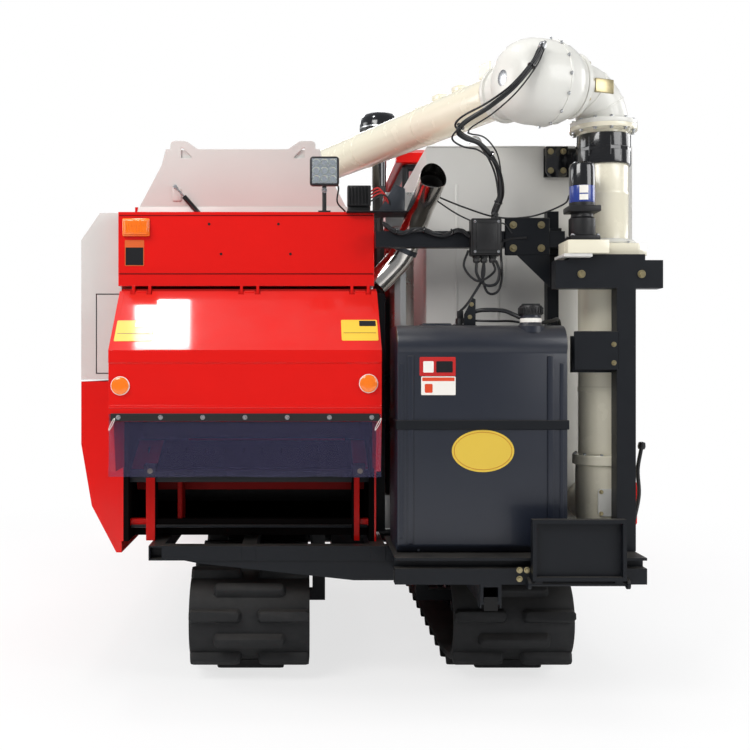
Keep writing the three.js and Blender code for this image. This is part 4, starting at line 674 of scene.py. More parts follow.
def covers():
    dress("left_upper_cover", GREY, 0.006, 3)
    dress("left_lower_cover", RED, 0.006, 3)
    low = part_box("left_upper_cover")[0]
    y = low.y
    bm = bmesh.new()
    left = -1.122
    for z in (1.284, 1.622):
        add_box(bm, (left, y - 0.0012, z), (-1.016, y + 0.001, z + 0.004))
    add_box(bm, (left, y - 0.0012, 1.284), (left + 0.004, y + 0.001, 1.626))
    finish_mesh("upper_cover_gasket", bm, BLACK, "left_upper_cover", smooth=False)
    for body, z, z1 in (("left_upper_cover", 1.262, 1.267), ("left_lower_cover", 1.243, 1.247)):
        bm = bmesh.new()
        add_box(bm, (low.x + 0.012, y + 0.02, z), (low.x + 0.024, 0.36, z1), 0.0015, 1)
        finish_mesh(f"{body}_edge_seal", bm, BLACK, body)
    for body, x, z, lean in (("left_upper_cover", -1.1471, 1.910, 34.6),
                             ("left_lower_cover", -1.1639, 0.860, -9.7)):
        turn = Matrix.Rotation(math.radians(lean), 3, "Y")
        for k, y1 in enumerate((-1.35, -0.35)):
            about = Vector((x, y1, z))
            bm = bmesh.new()
            add_box(bm, (x - 0.003, y1 - 0.055, z - 0.035), (x + 0.004, y1 + 0.055, z + 0.035), 0.0025, 2,
                    turn=turn, about=about)
            finish_mesh(f"{body}_latch_plate_{k}", bm, BLACK, body)
            bm = bmesh.new()
            add_box(bm, (x - 0.0065, y1 - 0.036, z - 0.016), (x - 0.0025, y1 + 0.036, z + 0.016), 0.0018, 2,
                    turn=turn, about=about)
            finish_mesh(f"{body}_latch_{k}", bm, ZINC, body)
    bm = bmesh.new()
    for y1 in (-1.75, -1.15, -0.55, 0.05):
        add_box(bm, (low.x + 0.0002, y1, 1.33), (low.x + 0.004, y1 + 0.012, 1.80), 0.002, 2)
    finish_mesh("upper_cover_ribs", bm, GREY, "left_upper_cover")


def top_cover():
    dress("thresher_top_cover", GREY, 0.008, 3)
    # thresher body in red, with painted shade inside its rear outlet
    dress("thresher_body", OUTLET, 0.004)
    dress("thresher_end_plate", GREY, 0.003)
    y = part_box("thresher_end_plate")[0].y
    bm = bmesh.new()
    path = [(-0.775, y - 0.020, 2.085), (-0.705, y - 0.020, 2.005)]
    add_lathe(bm, [(0, 0), (0.011, 0), (0.0115, 0.003), (0.0115, 0.10), (0.009, 0.106), (0, 0.106)], path[0],
              Vector(path[1]) - Vector(path[0]), 24)
    finish_mesh("gas_strut_cylinder", bm, GLOSS_BLACK, "root")
    bm = bmesh.new()
    add_prism(bm, [(-1.0, 1.950), (0.055, 1.950), (-0.030, 2.041), (-0.985, 2.041)], "y", y - 0.0030,
              y - 0.0004, 0.0008)
    add_prism(bm, rounded_rect((-0.830, 2.068), (-0.790, 2.128), 0.006), "y", y - 0.006, y - 0.0004, 0.001)
    finish_mesh("end_plate_foot", bm, GREY, "root")
    bm = bmesh.new()
    way = (Vector(path[1]) - Vector(path[0])).normalized()
    add_lathe(bm, round_bar(0.0045, 0.06), Vector(path[0]) - way * 0.058, way, 16)
    for end in (Vector(path[0]) - way * 0.062, Vector(path[1]) + way * 0.006):
        add_lathe(bm, [(0, 0), (0.008, 0), (0.009, 0.004), (0.009, 0.020), (0, 0.022)], end, AHEAD, 20)
    finish_mesh("gas_strut_rod", bm, ZINC, "root")
    bolts("end_plate_bolts", [(x, y, 2.000) for x in (-0.93, -0.66, -0.38, -0.10)], REAR, "root", 0.008, ZINC)
    bm = bmesh.new()
    low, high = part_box("thresher_top_cover")
    for k in range(5):
        z_y = low.y + 0.25 + (high.y - low.y - 0.5) * k / 4
        add_box(bm, (-0.80, z_y - 0.012, high.z - 0.003), (-0.22, z_y + 0.012, high.z + 0.0035), 0.003, 2)
    finish_mesh("top_cover_ribs", bm, GREY, "root")
    for k, y1 in enumerate((-1.3, -0.6, 0.1)):
        for side, x in (("l", -0.985), ("r", 0.055)):
            bm = bmesh.new()
            add_box(bm, (x - 0.016, y1 - 0.03, 2.036), (x + 0.016, y1 + 0.03, 2.048), 0.003, 2)
            add_lathe(bm, round_bar(0.006, 0.07), (x, y1 - 0.035, 2.052), AHEAD, 12)
            finish_mesh(f"top_latch_{side}_{k}", bm, ZINC, "root")


def work_light():
    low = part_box("work_light")[0]
    x, z, half = -0.148, 2.128, 0.061
    y = -2.135
    bm = bmesh.new()
    add_prism(bm, rounded_rect((x - half, z - half), (x + half, z + half), 0.014, 6), "y", y - 0.040,
              y - 0.012, 0.004)
    for k in range(8):
        add_box(bm, (x - 0.052, y - 0.013, z - 0.05 + k * 0.0135),
                (x + 0.052, y + 0.006, z - 0.0455 + k * 0.0135), 0.001, 1)
    add_box(bm, (x - 0.026, y - 0.016, low.z - 0.002), (x + 0.026, y + 0.014, low.z + 0.006), 0.002)
    add_lathe(bm, round_bar(0.009, z - half - low.z + 0.01), (x, y - 0.004, low.z),
              UP, 16)
    finish_mesh("work_light_body", bm, BLACK, "root", 35, "work_light")
    bm = bmesh.new()
    for i in range(3):
        for j in range(3):
            centre = (x - 0.034 + i * 0.034, y - 0.0405, z - 0.034 + j * 0.034)
            add_lathe(bm, [(0.0155, -0.0035), (0.012, -0.001), (0.007, 0.006), (0.0035, 0.009)], centre,
                      AHEAD, 24)
    finish_mesh("work_light_reflectors", bm, LED, "root", 60)
    bm = bmesh.new()
    for i in range(3):
        for j in range(3):
            add_lathe(bm, [(0, 0), (0.0042, 0), (0.0042, 0.002), (0, 0.0025)],
                      (x - 0.034 + i * 0.034, y - 0.0315, z - 0.034 + j * 0.034), REAR, 12)
    finish_mesh("work_light_chips", bm, YELLOW, "root")
    bm = bmesh.new()
    add_box(bm, (x - 0.052, y - 0.0435, z - 0.052), (x + 0.052, y - 0.0420, z + 0.052), 0.0006, 1)
    finish_mesh("work_light_glass", bm, GLASS, "root")
    bolts("work_light_bolt", [(x, y - 0.016, z - half - 0.016)], REAR, "root", 0.008, ZINC)
    bm = bmesh.new()
    add_sweep(bm, smooth_path([(x + 0.03, y + 0.004, z - 0.03), (x + 0.06, y + 0.03, z - 0.055),
                               (x + 0.055, y + 0.02, z - 0.12), (x + 0.09, y + 0.03, z - 0.16)], 8), 0.0035,
              8)
    finish_mesh("work_light_wire", bm, CABLE, "root")


# ------------------------------------------------------------------ unloading auger

def ring_of_bolts(name, centre, direction, radius, count, body, size=0.008, material=None, phase=0.0):
    """Bolts evenly spaced on a circle."""
    way, side, up = frame_along(direction)
    places = [Vector(centre) + (side * math.cos(phase + i / count * TAU) + up
                                * math.sin(phase + i / count * TAU)) * radius for i in range(count)]
    return bolts(name, places, way, body, size, material)


def unloader_column():
    x, y = UNLOAD_X, UNLOAD_Y
    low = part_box("unload_boot")[0].z
    bm = bmesh.new()
    add_lathe(bm, [(0, 0), (0.122, 0), (0.126, 0.004), (0.126, 0.014), (0.122, 0.018), (0.098, 0.022),
                   (0.090, 0.045), (0.106, 0.085), (0.112, 0.13), (0.112, 0.30), (0.110, 0.322),
                   (0.123, 0.328), (0.124, 0.334), (0.124, 0.344), (0.123, 0.350), (0.124, 0.354),
                   (0.124, 0.362), (0.122, 0.366), (0.104, 0.368), (0.1005, 0.372), (0.1005, 0.62),
                   (0.1025, 0.622), (0.1025, 0.640), (0.1005, 0.642), (0.1005, 1.1615), (0, 1.1615)],
              (x, y, low), UP, 64)
    add_sweep(bm, [(x, y + 0.02, low + 0.15), (x, -2.06, low + 0.15), (x, -2.0005, low + 0.15)], 0.090, 40)
    finish_mesh("unload_boot_body", bm, CREAM, "root", 35, "unload_boot")
    bm = bmesh.new()
    for k in range(5):
        a = math.radians(200 + k * 35)
        add_box(bm, (x - 0.004, y - 0.124, low + 0.02), (x + 0.004, y - 0.098, low + 0.085), 0.002, 1,
                turn=Matrix.Rotation(a + math.radians(90), 3, "Z"), about=Vector((x, y, low)))
    finish_mesh("unload_boot_gussets", bm, CAST_CREAM, "root")
    ring_of_bolts("boot_flange_bolts", (x, y, low + 0.366), UP, 0.1155, 10, "root", 0.006, ZINC)
    bm = bmesh.new()
    add_prism(bm, rounded_rect((x - 0.052, low + 0.125), (x + 0.052, low + 0.235), 0.016), "y", y - 0.1180,
              y - 0.1065, 0.002)
    finish_mesh("boot_cleanout_door", bm, CAST_CREAM, "root")
    bolts("boot_door_bolts", [(x + dx, y - 0.118, low + z) for dx in (-0.040, 0.040) for z
                              in (0.137, 0.223)], REAR, "root", 0.006)


def gear_case():
    """Flat two-block gear case that turns the tube, on its plate."""
    x, y = UNLOAD_X, UNLOAD_Y
    low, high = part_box("swing_gear_case")
    bm = bmesh.new()
    left = [(0.788, -2.488), (0.950, -2.488), (0.950, -2.230), (0.900, -2.190), (0.845, -2.230),
            (0.788, -2.330)]
    right = [(0.940, -2.398), (1.092, -2.398), (1.138, -2.350), (1.138, -2.150), (1.095, -2.104),
             (0.895, -2.104), (0.846, -2.155), (0.846, -2.300)]
    add_prism(bm, left, "z", low.z, high.z, 0.004)
    add_prism(bm, right, "z", low.z + 0.003, high.z - 0.003, 0.004)
    finish_mesh("gear_case_blocks", bm, CREAM, "root", 35, "swing_gear_case")
    bm = bmesh.new()
    add_box(bm, (0.772, -2.490, low.z - 0.014), (0.884, -2.330, low.z - 0.001), 0.002, 1)
    finish_mesh("gear_case_plate", bm, GREY, "root")
    bm = bmesh.new()
    add_lathe(bm, [(0.102, 0), (0.128, 0), (0.130, 0.003), (0.130, 0.012), (0.118, 0.020), (0.102, 0.022)],
              (x, y, high.z), UP, 48)
    finish_mesh("gear_case_collar", bm, CAST_CREAM, "root", 40)
    ring_of_bolts("gear_case_bolts", (x, y, high.z), UP, 0.141, 8, "root", 0.005, ZINC, 0.3)


def swing_motor():
    """Electric motor that stands on the gear case, with its gearbox below."""
    mx, my = 0.860, -2.420
    motor_low, motor_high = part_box("swing_motor")
    bm = bmesh.new()
    add_box(bm, (mx - 0.058, my - 0.058, motor_low.z), (mx + 0.058, my + 0.058, motor_low.z + 0.018), 0.004,
            2)
    add_lathe(bm, [(0, 0.018), (0.050, 0.018), (0.052, 0.024), (0.052, 0.086), (0.044, 0.094), (0.042, 0.106),
                   (0.0505, 0.112), (0.0505, 0.150)], (mx, my, motor_low.z), UP, 48)
    add_box(bm, (mx - 0.062, my - 0.054, motor_low.z + 0.112),
            (mx + 0.062, my + 0.054, motor_low.z + 0.136), 0.004, 2)
    finish_mesh("swing_motor_gearbox", bm, BLACK, "root", 35, "swing_motor")
    bm = bmesh.new()
    add_lathe(bm, [(0.0495, 0.150), (0.0500, 0.152), (0.0500, 0.215), (0.0495, 0.217)],
              (mx, my, motor_low.z), UP, 48)
    finish_mesh("swing_motor_band", bm, BLUE, "root", 40)
    bm = bmesh.new()
    top = motor_high.z - motor_low.z
    add_lathe(bm, [(0.0505, 0.215), (0.0508, 0.222), (0.0508, top - 0.020), (0.046, top - 0.006),
                   (0.036, top), (0, top)], (mx, my, motor_low.z), UP, 48)
    finish_mesh("swing_motor_cap", bm, GLOSS_BLACK, "root", 40)
    for k, (angle, width, height,
            z) in enumerate(((-0.10, 0.034, 0.030, 0.184), (-0.10, 0.034, 0.022, 0.157))):
        bm = bmesh.new()
        steps = 8
        verts = []
        for i in range(steps + 1):
            a = angle - math.pi / 2 + (i / steps - 0.5) * width / 0.0506
            verts.append([bm.verts.new((mx + 0.0507 * math.cos(a), my + 0.0507 * math.sin(a),
                                        motor_low.z + z + h)) for h in (0, height)])
        for a, b in zip(verts, verts[1:]):
            bm.faces.new((a[0], b[0], b[1], a[1]))
        finish_mesh(f"swing_motor_label_{k}", bm, WHITE_RIM, "root", 60)
    bolts("swing_motor_bolts", [(mx + a * 0.048, my + b * 0.048, motor_low.z + 0.018) for a in (-1, 1) for b
                                in (-1, 1)], UP, "root", 0.006, ZINC)


def swing_head():
    """What turns: upper tube, flanges, elbow."""
    x, y = UNLOAD_X, UNLOAD_Y
    low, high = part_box("swing_tube")
    bm = bmesh.new()
    rise = high.z - low.z
    add_lathe(bm, [(0, 0), (0.1004, 0), (0.1004, 0.20), (0.1018, 0.202), (0.1018, 0.212), (0.1004, 0.214),
                   (0.1004, rise - 0.024), (0.108, rise - 0.019), (0.134, rise - 0.018),
                   (0.135, rise - 0.016), (0.135, rise - 0.001), (0.134, rise), (0, rise)], (x, y, low.z),
              UP, 64)
    finish_mesh("swing_tube_body", bm, CREAM, "unload_upper", 35, "swing_tube")
    ring_of_bolts("swing_flange_bolts", (x, y, high.z - 0.018), (0, 0, -1), 0.121, 12, "unload_upper",
                  0.0075, ZINC)
    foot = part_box("swing_elbow")[0].z
    climb = BOOM_Z - foot
    path = [Vector((x, y, foot + 0.001))]
    for i in range(1, 21):
        a = i / 20 * math.pi / 2
        path.append(Vector((x, y, foot)) + LIFT_WAY * climb * (1 - math.cos(a))
                    + Vector((0, 0, climb * math.sin(a))))
    end = Vector((x, y, BOOM_Z)) + LIFT_WAY * (0.168 - 0.0003)
    path.append(end)
    bm = bmesh.new()
    add_sweep(bm, path, 0.1005, 48)
    add_lathe(bm, [(0, 0), (0.134, 0), (0.135, 0.002), (0.135, 0.016), (0.133, 0.018), (0.110, 0.020),
                   (0.102, 0.030)], (x, y, foot), UP, 64)
    add_lathe(bm, [(0.102, -0.030), (0.108, -0.020), (0.128, -0.018), (0.130, -0.016), (0.130, -0.001),
                   (0.128, 0), (0, 0)], end, LIFT_WAY, 64)
    finish_mesh("swing_elbow_body", bm, CAST_CREAM, "unload_upper", 35, "swing_elbow")
    ring_of_bolts("elbow_foot_bolts", (x, y, foot + 0.018), UP, 0.121, 12, "unload_upper", 0.0075, ZINC)
    ring_of_bolts("elbow_collar_bolts", end - LIFT_WAY * 0.018, -LIFT_WAY, 0.119, 10, "unload_upper", 0.007)
    for k, a in enumerate((0.52, 1.05)):
        centre = Vector((x, y,
                         foot)) + LIFT_WAY * climb * (1 - math.cos(a)) + Vector((0, 0, climb * math.sin(a)))
        way = LIFT_WAY * math.sin(a) + Vector((0, 0, math.cos(a)))
        bm = bmesh.new()
        add_lathe(bm, [(0.100, -0.004), (0.1028, -0.003), (0.1032, 0), (0.1028, 0.003), (0.100, 0.004)],
                  centre, way, 48)
        finish_mesh(f"elbow_weld_{k}", bm, CAST_CREAM, "unload_upper", 60)
    bm = bmesh.new()
    plate = Vector((x, y, BOOM_Z)) + LIFT_WAY * 0.075
    side = UP.cross(LIFT_WAY)
    out = side * (1 if side.y < 0 else -1)
    centre = plate + out * 0.098 + Vector((0, 0, -0.012))
    turn = Matrix((LIFT_WAY, out, UP)).transposed().to_3x3()
    add_box(bm, centre - Vector((0.045, 0.006, 0.028)), centre + Vector((0.045, 0.006, 0.028)), 0.003, 2,
            turn=turn)
    finish_mesh("elbow_bracket", bm, BOLT, "unload_upper")


def lift_bell():
    reach = 0.169
    start = Vector((UNLOAD_X, UNLOAD_Y, BOOM_Z)) + LIFT_WAY * 0.168
    bm = bmesh.new()
    profile = [(0, 0), (0.124, 0), (0.126, 0.002), (0.126, 0.015), (0.128, 0.020), (0.148, 0.040),
               (0.160, 0.066), (0.167, 0.100), (0.168, 0.106), (0.171, 0.108), (0.171, 0.117),
               (0.168, 0.119), (0.168, reach + 0.020), (0.165, reach + 0.045), (0.156, reach + 0.078),
               (0.140, reach + 0.108), (0.116, reach + 0.131), (0.086, reach + 0.146),
               (0.05, reach + 0.152), (0, reach + 0.154)]
    add_lathe(bm, profile, start, LIFT_WAY, 72)
    socket = [(0, 0.08), (0.118, 0.08), (0.114, 0.13), (0.110, 0.160), (0.110, 0.196), (0.119, 0.198),
              (0.120, 0.200), (0.120, 0.216), (0.119, 0.218), (0, 0.218)]
    add_lathe(bm, socket, BELL, BOOM_WAY, 64)
    finish_mesh("lift_bell_body", bm, CAST_CREAM, "unload_boom", 35, "lift_bell")
    cap = start + LIFT_WAY * (reach + 0.150)
    bm = bmesh.new()
    add_lathe(bm, [(0, 0), (0.030, 0), (0.031, 0.005), (0.020, 0.008), (0, 0.008)], cap - LIFT_WAY * 0.002,
              LIFT_WAY, 32)
    finish_mesh("lift_bell_boss", bm, ZINC, "unload_boom")
    ring_of_bolts("bell_seam_bolts", start + LIFT_WAY * 0.119, LIFT_WAY, 0.1715, 14, "unload_boom", 0.0055,
                  ZINC)


def boom():
    start = BELL + BOOM_WAY * 0.2183
    length = (BELL + BOOM_WAY * 3.640 - start).length
    profile = [(0, 0), (0.113, 0), (0.114, 0.002), (0.114, 0.012), (0.113, 0.014), (0.095, 0.016),
               (0.0905, 0.020)]
    for seam in (0.62, 1.24, 1.86, 2.48, 3.08):
        profile += [(0.0905, seam), (0.0925, seam + 0.002), (0.0925, seam + 0.020), (0.0905, seam + 0.022)]
    profile += [(0.0905, length), (0, length)]
    bm = bmesh.new()
    add_lathe(bm, profile, start, BOOM_WAY, 56)
    finish_mesh("unload_tube_body", bm, CREAM, "unload_boom", 35, "unload_tube")
    ring_of_bolts("boom_flange_bolts", start + BOOM_WAY * 0.014, BOOM_WAY, 0.103, 10, "unload_boom", 0.007)
    side = UP.cross(BOOM_WAY)
    bm = bmesh.new()
    for distance in (0.33, 0.50):
        centre = start + BOOM_WAY * distance + Vector((0, 0, 0.098))
        turn = Matrix((BOOM_WAY, side, UP)).transposed().to_3x3()
        add_box(bm, centre - Vector((0.03, 0.03, 0.012)), centre + Vector((0.03, 0.03, 0.012)), 0.003, 2,
                turn=turn)
    finish_mesh("boom_brackets", bm, CREAM, "unload_boom")
    tip = BELL + BOOM_WAY * 3.6403
    bm = bmesh.new()
    add_lathe(bm, [(0, 0), (0.100, 0), (0.112, 0.012), (0.115, 0.03), (0.115, 0.23), (0.108, 0.252),
                   (0.09, 0.26), (0, 0.26)], tip, BOOM_WAY, 48)
    middle = tip + BOOM_WAY * 0.135
    rings = [(0, 0), (0.104, 0)]
    for k in range(7):
        z = 0.12 + k * 0.028
        rings += [(0.104, z), (0.107, z + 0.008), (0.107, z + 0.016), (0.104, z + 0.024)]
    rings += [(0.104, 0.34), (0.098, 0.34), (0.098, 0.20), (0, 0.20)]
    add_lathe(bm, rings, middle, (0, 0, -1), 48)
    finish_mesh("unload_spout_body", bm, RUBBER, "unload_boom", 35, "unload_spout")
    dress("auger_rest", FRAME, 0.003)
    mast = BELL + BOOM_WAY * 0.300 + Vector((0, 0, 0.088))
    turn = Matrix((BOOM_WAY, LIFT_WAY, UP)).transposed().to_3x3()
    bm = bmesh.new()
    for side in (-0.036, 0.036):
        add_box(bm, mast + Vector((-0.040, side - 0.004, 0)), mast + Vector((0.040, side + 0.004, 0.058)),
                0.0015, 1, turn=turn, about=mast)
    add_box(bm, mast + Vector((-0.040, -0.040, -0.002)), mast + Vector((0.040, 0.040, 0.005)), 0.0015, 1,
            turn=turn, about=mast)
    finish_mesh("boom_bracket", bm, CREAM, "unload_boom")


# ------------------------------------------------------------------ fuel tank, carrier, posts

def fuel_tank():
    low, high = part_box("fuel_tank")
    x0, x1, y0, y1, z0 = low.x, low.x + 0.660, low.y, high.y, low.z
    z1 = 1.475
    outline = ([(y0, z0 + 0.03), (y0, z1 - 0.115)] + arc((y0 + 0.075, z1 - 0.080), 0.080, 200, 90, 8)
               + arc((y1 - 0.04, z1 - 0.04), 0.04, 90, 0, 5)
               + [(y1, z0 + 0.03), (y1 - 0.03, z0), (y0 + 0.03, z0)])
    outline[2] = (y0 + 0.0015, z1 - 0.108)
    bm = bmesh.new()
    add_prism(bm, outline, "x", x0, x1, 0.030)
    for edge in (x0 + 0.052, x1 - 0.066):
        add_prism(bm, rounded_rect((y0 - 0.0045, z0 + 0.035), (y0 + 0.02, z1 - 0.12), 0.004, 3), "x",
                  edge - 0.011, edge + 0.011, 0.003)
    for edge in (x0 + 0.010, x1 - 0.030):
        add_prism(bm, rounded_rect((y0 - 0.0025, z0 + 0.06), (y0 + 0.02, z1 - 0.15), 0.002, 2), "x", edge,
                  edge + 0.014, 0.002)
    neck = Vector((0.655, -2.435, z1 - 0.030))
    add_lathe(bm, [(0, 0), (0.056, 0), (0.055, 0.026), (0.044, 0.034), (0.0405, 0.040), (0.0400, 0.0698),
                   (0, 0.0698)], neck, UP, 40)
    add_box(bm, (0.232, -2.405, z1 - 0.004), (0.350, -2.285, z1 + 0.010), 0.006)
    finish_mesh("fuel_tank_shell", bm, NAVY, "root", 38, "fuel_tank")
    bm = bmesh.new()
    z, top = 1.070, 1.070 + 0.036
    add_box(bm, (x0 - 0.004, y0 - 0.0075, z), (x1 + 0.003, y0 - 0.0015, top), 0.002, 1)
    add_box(bm, (x0 - 0.0045, y0 - 0.007, z), (x0 + 0.001, y1 + 0.004, top), 0.002, 1)
    add_box(bm, (x1 - 0.001, y0 - 0.007, z), (x1 + 0.0045, y1 + 0.004, top), 0.002, 1)
    finish_mesh("fuel_tank_strap", bm, FRAME, "root")
    rod = Vector((x0 + 0.085, y0 + 0.020, 0.598))
    bm = bmesh.new()
    add_lathe(bm, round_bar(0.0055, 0.122), rod, UP, 10)
    finish_mesh("fuel_hold_down_rod", bm, DARK_STEEL, "root")
    bolts("fuel_hold_down_nut", [rod + Vector((0, 0, 0.072))], UP, "root", 0.0095)
    fuel_labels(y0)
    fuel_fittings(z1)


def fuel_labels(y0):
    """Blank coloured plates on the tank's rear face, whose y is y0."""
    label("fuel_label_red", "root", (0.212, y0 - 0.0005, 1.277), RIGHT, UP, 0.139, 0.073, 0.93,
          (surface("label_red", srgb(196, 28, 24), 0.4, coat=0.3),
           surface("label_red_face", srgb(186, 24, 22), 0.4, coat=0.3)))
    plate_on("fuel_label_red_mark", "root", (0.226, y0 - 0.0019, 1.290), RIGHT, UP, 0.040, 0.044, WHITE_RIM,
             0.0004)
    plate_on("fuel_label_black_mark", "root", (0.276, y0 - 0.0019, 1.290), RIGHT, UP, 0.064, 0.044,
             GLOSS_BLACK, 0.0004)
    label("fuel_label_white", "root", (0.218, y0 - 0.0005, 1.203), RIGHT, UP, 0.133, 0.072, 0.25,
          (WHITE_RIM, surface("label_orange_red", srgb(216, 70, 30), 0.4, coat=0.3)))
    plate_on("fuel_label_orange_mark", "root", (0.232, y0 - 0.0019, 1.212), RIGHT, UP, 0.030, 0.034,
             surface("label_orange_mark", srgb(216, 70, 30), 0.4), 0.0004)
    oval = [(0.457 + 0.1205 * math.cos(a), 0.987 + 0.0815 * math.sin(a)) for a
            in [k / 64 * TAU for k in range(64)]]
    bm = bmesh.new()
    add_prism(bm, oval, "y", y0 - 0.0016, y0 - 0.0002, 0.0)
    finish_mesh("fuel_oval_plate", bm, GOLD_OVAL, "root", 50)
    ring = [(0.457 + 0.1115 * math.cos(a), y0 - 0.0016, 0.987 + 0.0725 * math.sin(a)) for a
            in [k / 64 * TAU for k in range(65)]]
    bm = bmesh.new()
    add_sweep(bm, ring, 0.0012, 5)
    finish_mesh("fuel_oval_ring", bm, surface("oval_edge", srgb(190, 120, 30), 0.4), "root")


def fuel_fittings(top):
    cap_low, cap_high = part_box("fuel_filler_cap")
    middle = (cap_low + cap_high) / 2
    base = Vector((middle.x, middle.y, cap_low.z))
    rise = cap_high.z - cap_low.z
    bm = bmesh.new()
    add_lathe(bm, [(0, 0), (0.044, 0), (0.0455, 0.003), (0.0455, rise - 0.016), (0.042, rise - 0.009),
                   (0.030, rise - 0.008), (0, rise - 0.008)], base, UP, 48)
    for k in range(24):
        turn = Matrix.Rotation(k / 24 * TAU, 3, "Z")
        add_box(bm, base + Vector((0.0435, -0.0032, 0.004)), base + Vector((0.0495, 0.0032, rise - 0.017)),
                0.0014, 1, turn=turn, about=base)
    add_box(bm, base + Vector((-0.036, -0.008, rise - 0.010)), base + Vector((0.036, 0.008, rise - 0.001)),
            0.004, 3)
    finish_mesh("filler_cap", bm, BLACK, "root", 38, "fuel_filler_cap")
    bm = bmesh.new()
    add_lathe(bm, [(0.0402, 0), (0.0425, 0.001), (0.0425, 0.016), (0.0402, 0.017)],
              base - Vector((0, 0, 0.030)), UP, 40)
    finish_mesh("filler_band", bm, WHITE_RIM, "root")
    bm = bmesh.new()
    sender = Vector((0.392, -2.340, top))
    add_lathe(bm, [(0, -0.003), (0.034, -0.003), (0.034, 0.006), (0.020, 0.008), (0.018, 0.030),
                   (0.012, 0.034), (0, 0.034)], sender, UP, 32)
    add_box(bm, sender + Vector((-0.012, -0.010, 0.03)), sender + Vector((0.012, 0.010, 0.062)), 0.003)
    finish_mesh("fuel_sender", bm, BLACK, "root")
    bolts("fuel_sender_screws", [sender + Vector((math.cos(a) * 0.027, math.sin(a) * 0.027, 0.006))
                                 for a in [k / 5 * TAU for k in range(5)]], UP, "root", 0.0035, ZINC)
    bm = bmesh.new()
    add_prism(bm, [(0.400, top - 0.002), (0.446, top - 0.002), (0.446, top + 0.105), (0.434, top + 0.112),
                   (0.400, top + 0.045)], "y", -2.392, -2.386, 0.001)
    add_box(bm, (0.396, -2.395, top - 0.003), (0.450, -2.350, top + 0.003), 0.001)
    finish_mesh("fuel_hose_bracket", bm, FRAME, "root")
    bolts("fuel_bracket_bolts", [(0.423, -2.392, top + 0.035), (0.430, -2.392, top + 0.085)], REAR, "root",
          0.006)
    for k, route in enumerate((
        [(0.425, -2.36, top + 0.050), (0.47, -2.39, top + 0.062), (0.55, -2.40, top + 0.060),
         (0.59, -2.41, top + 0.045), (0.618, -2.425, top + 0.030)],
        [(0.404, -2.345, top + 0.030), (0.44, -2.37, top + 0.022), (0.52, -2.40, top + 0.018),
         (0.59, -2.36, top + 0.020),
         (0.67, -2.32, top + 0.012), (0.70, -2.28, top + 0.016), (0.69, -2.24, top + 0.012)],
        [(0.68, -2.385, top + 0.006), (0.76, -2.32, top + 0.022), (0.80, -2.27, top + 0.030),
         (0.815, -2.24, top - 0.02), (0.813, -2.22, top - 0.16)],
        [(0.745, -2.31, top + 0.006), (0.790, -2.31, top - 0.015), (0.806, -2.30, top - 0.12),
         (0.806, -2.30, top - 0.40), (0.806, -2.30, 0.70)],
    )):
        bm = bmesh.new()
        add_sweep(bm, smooth_path(route, 8), (0.0085, 0.0045, 0.0075, 0.007)[k], 12)
        finish_mesh(f"fuel_hose_{k}", bm, CABLE, "root")


def carrier():
    dress("rear_carrier", FRAME, 0.003)
    dress("fuel_step", FRAME, 0.003)
    bolts("carrier_bolts", [(0.578, -2.6005, 0.545), (0.606, -2.6005, 0.545), (0.578, -2.6005, 0.512)],
          REAR, "root", 0.008)
    bm = bmesh.new()
    for left, right in ((0.505, 0.511), (0.429, 0.435)):
        add_prism(bm, [(-2.598, 0.489), (-2.598, 0.40), (-2.55, 0.40), (-2.44, 0.489)], "x", left, right,
                  0.0015)
    finish_mesh("hitch_gussets", bm, FRAME, "root")
    bm = bmesh.new()
    for x, left, right in ((0.108, 0.001, 0.0005), (1.060, 0.0005, 0.001)):
        add_box(bm, (x - left, -2.592, 0.498), (x + right, -2.548, 0.542))
    add_box(bm, (0.444, -2.6006, 0.391), (0.496, -2.5995, 0.443))
    finish_mesh("tube_mouths", bm, SHADOW, "root", smooth=False)


def posts():
    dress("auger_post_frame", FRAME, 0.003)
    dress("tank_bracket_post", FRAME, 0.003)
    low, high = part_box("tube_collar")
    rise = high.z - low.z
    bm = bmesh.new()
    add_lathe(bm, [(0.1014, 0.0), (0.1085, 0.001), (0.1098, 0.006), (0.1098, rise * 0.44),
                   (0.1060, rise * 0.47), (0.1060, rise * 0.53), (0.1098, rise * 0.56),
                   (0.1098, rise - 0.006), (0.1085, rise - 0.001), (0.1014, rise)],
              (UNLOAD_X, UNLOAD_Y, low.z), UP, 72)
    finish_mesh("tube_collar_bands", bm, GLOSS_BLACK, "root", 40)
    dress("tube_collar", GLOSS_BLACK, 0.002, 2)


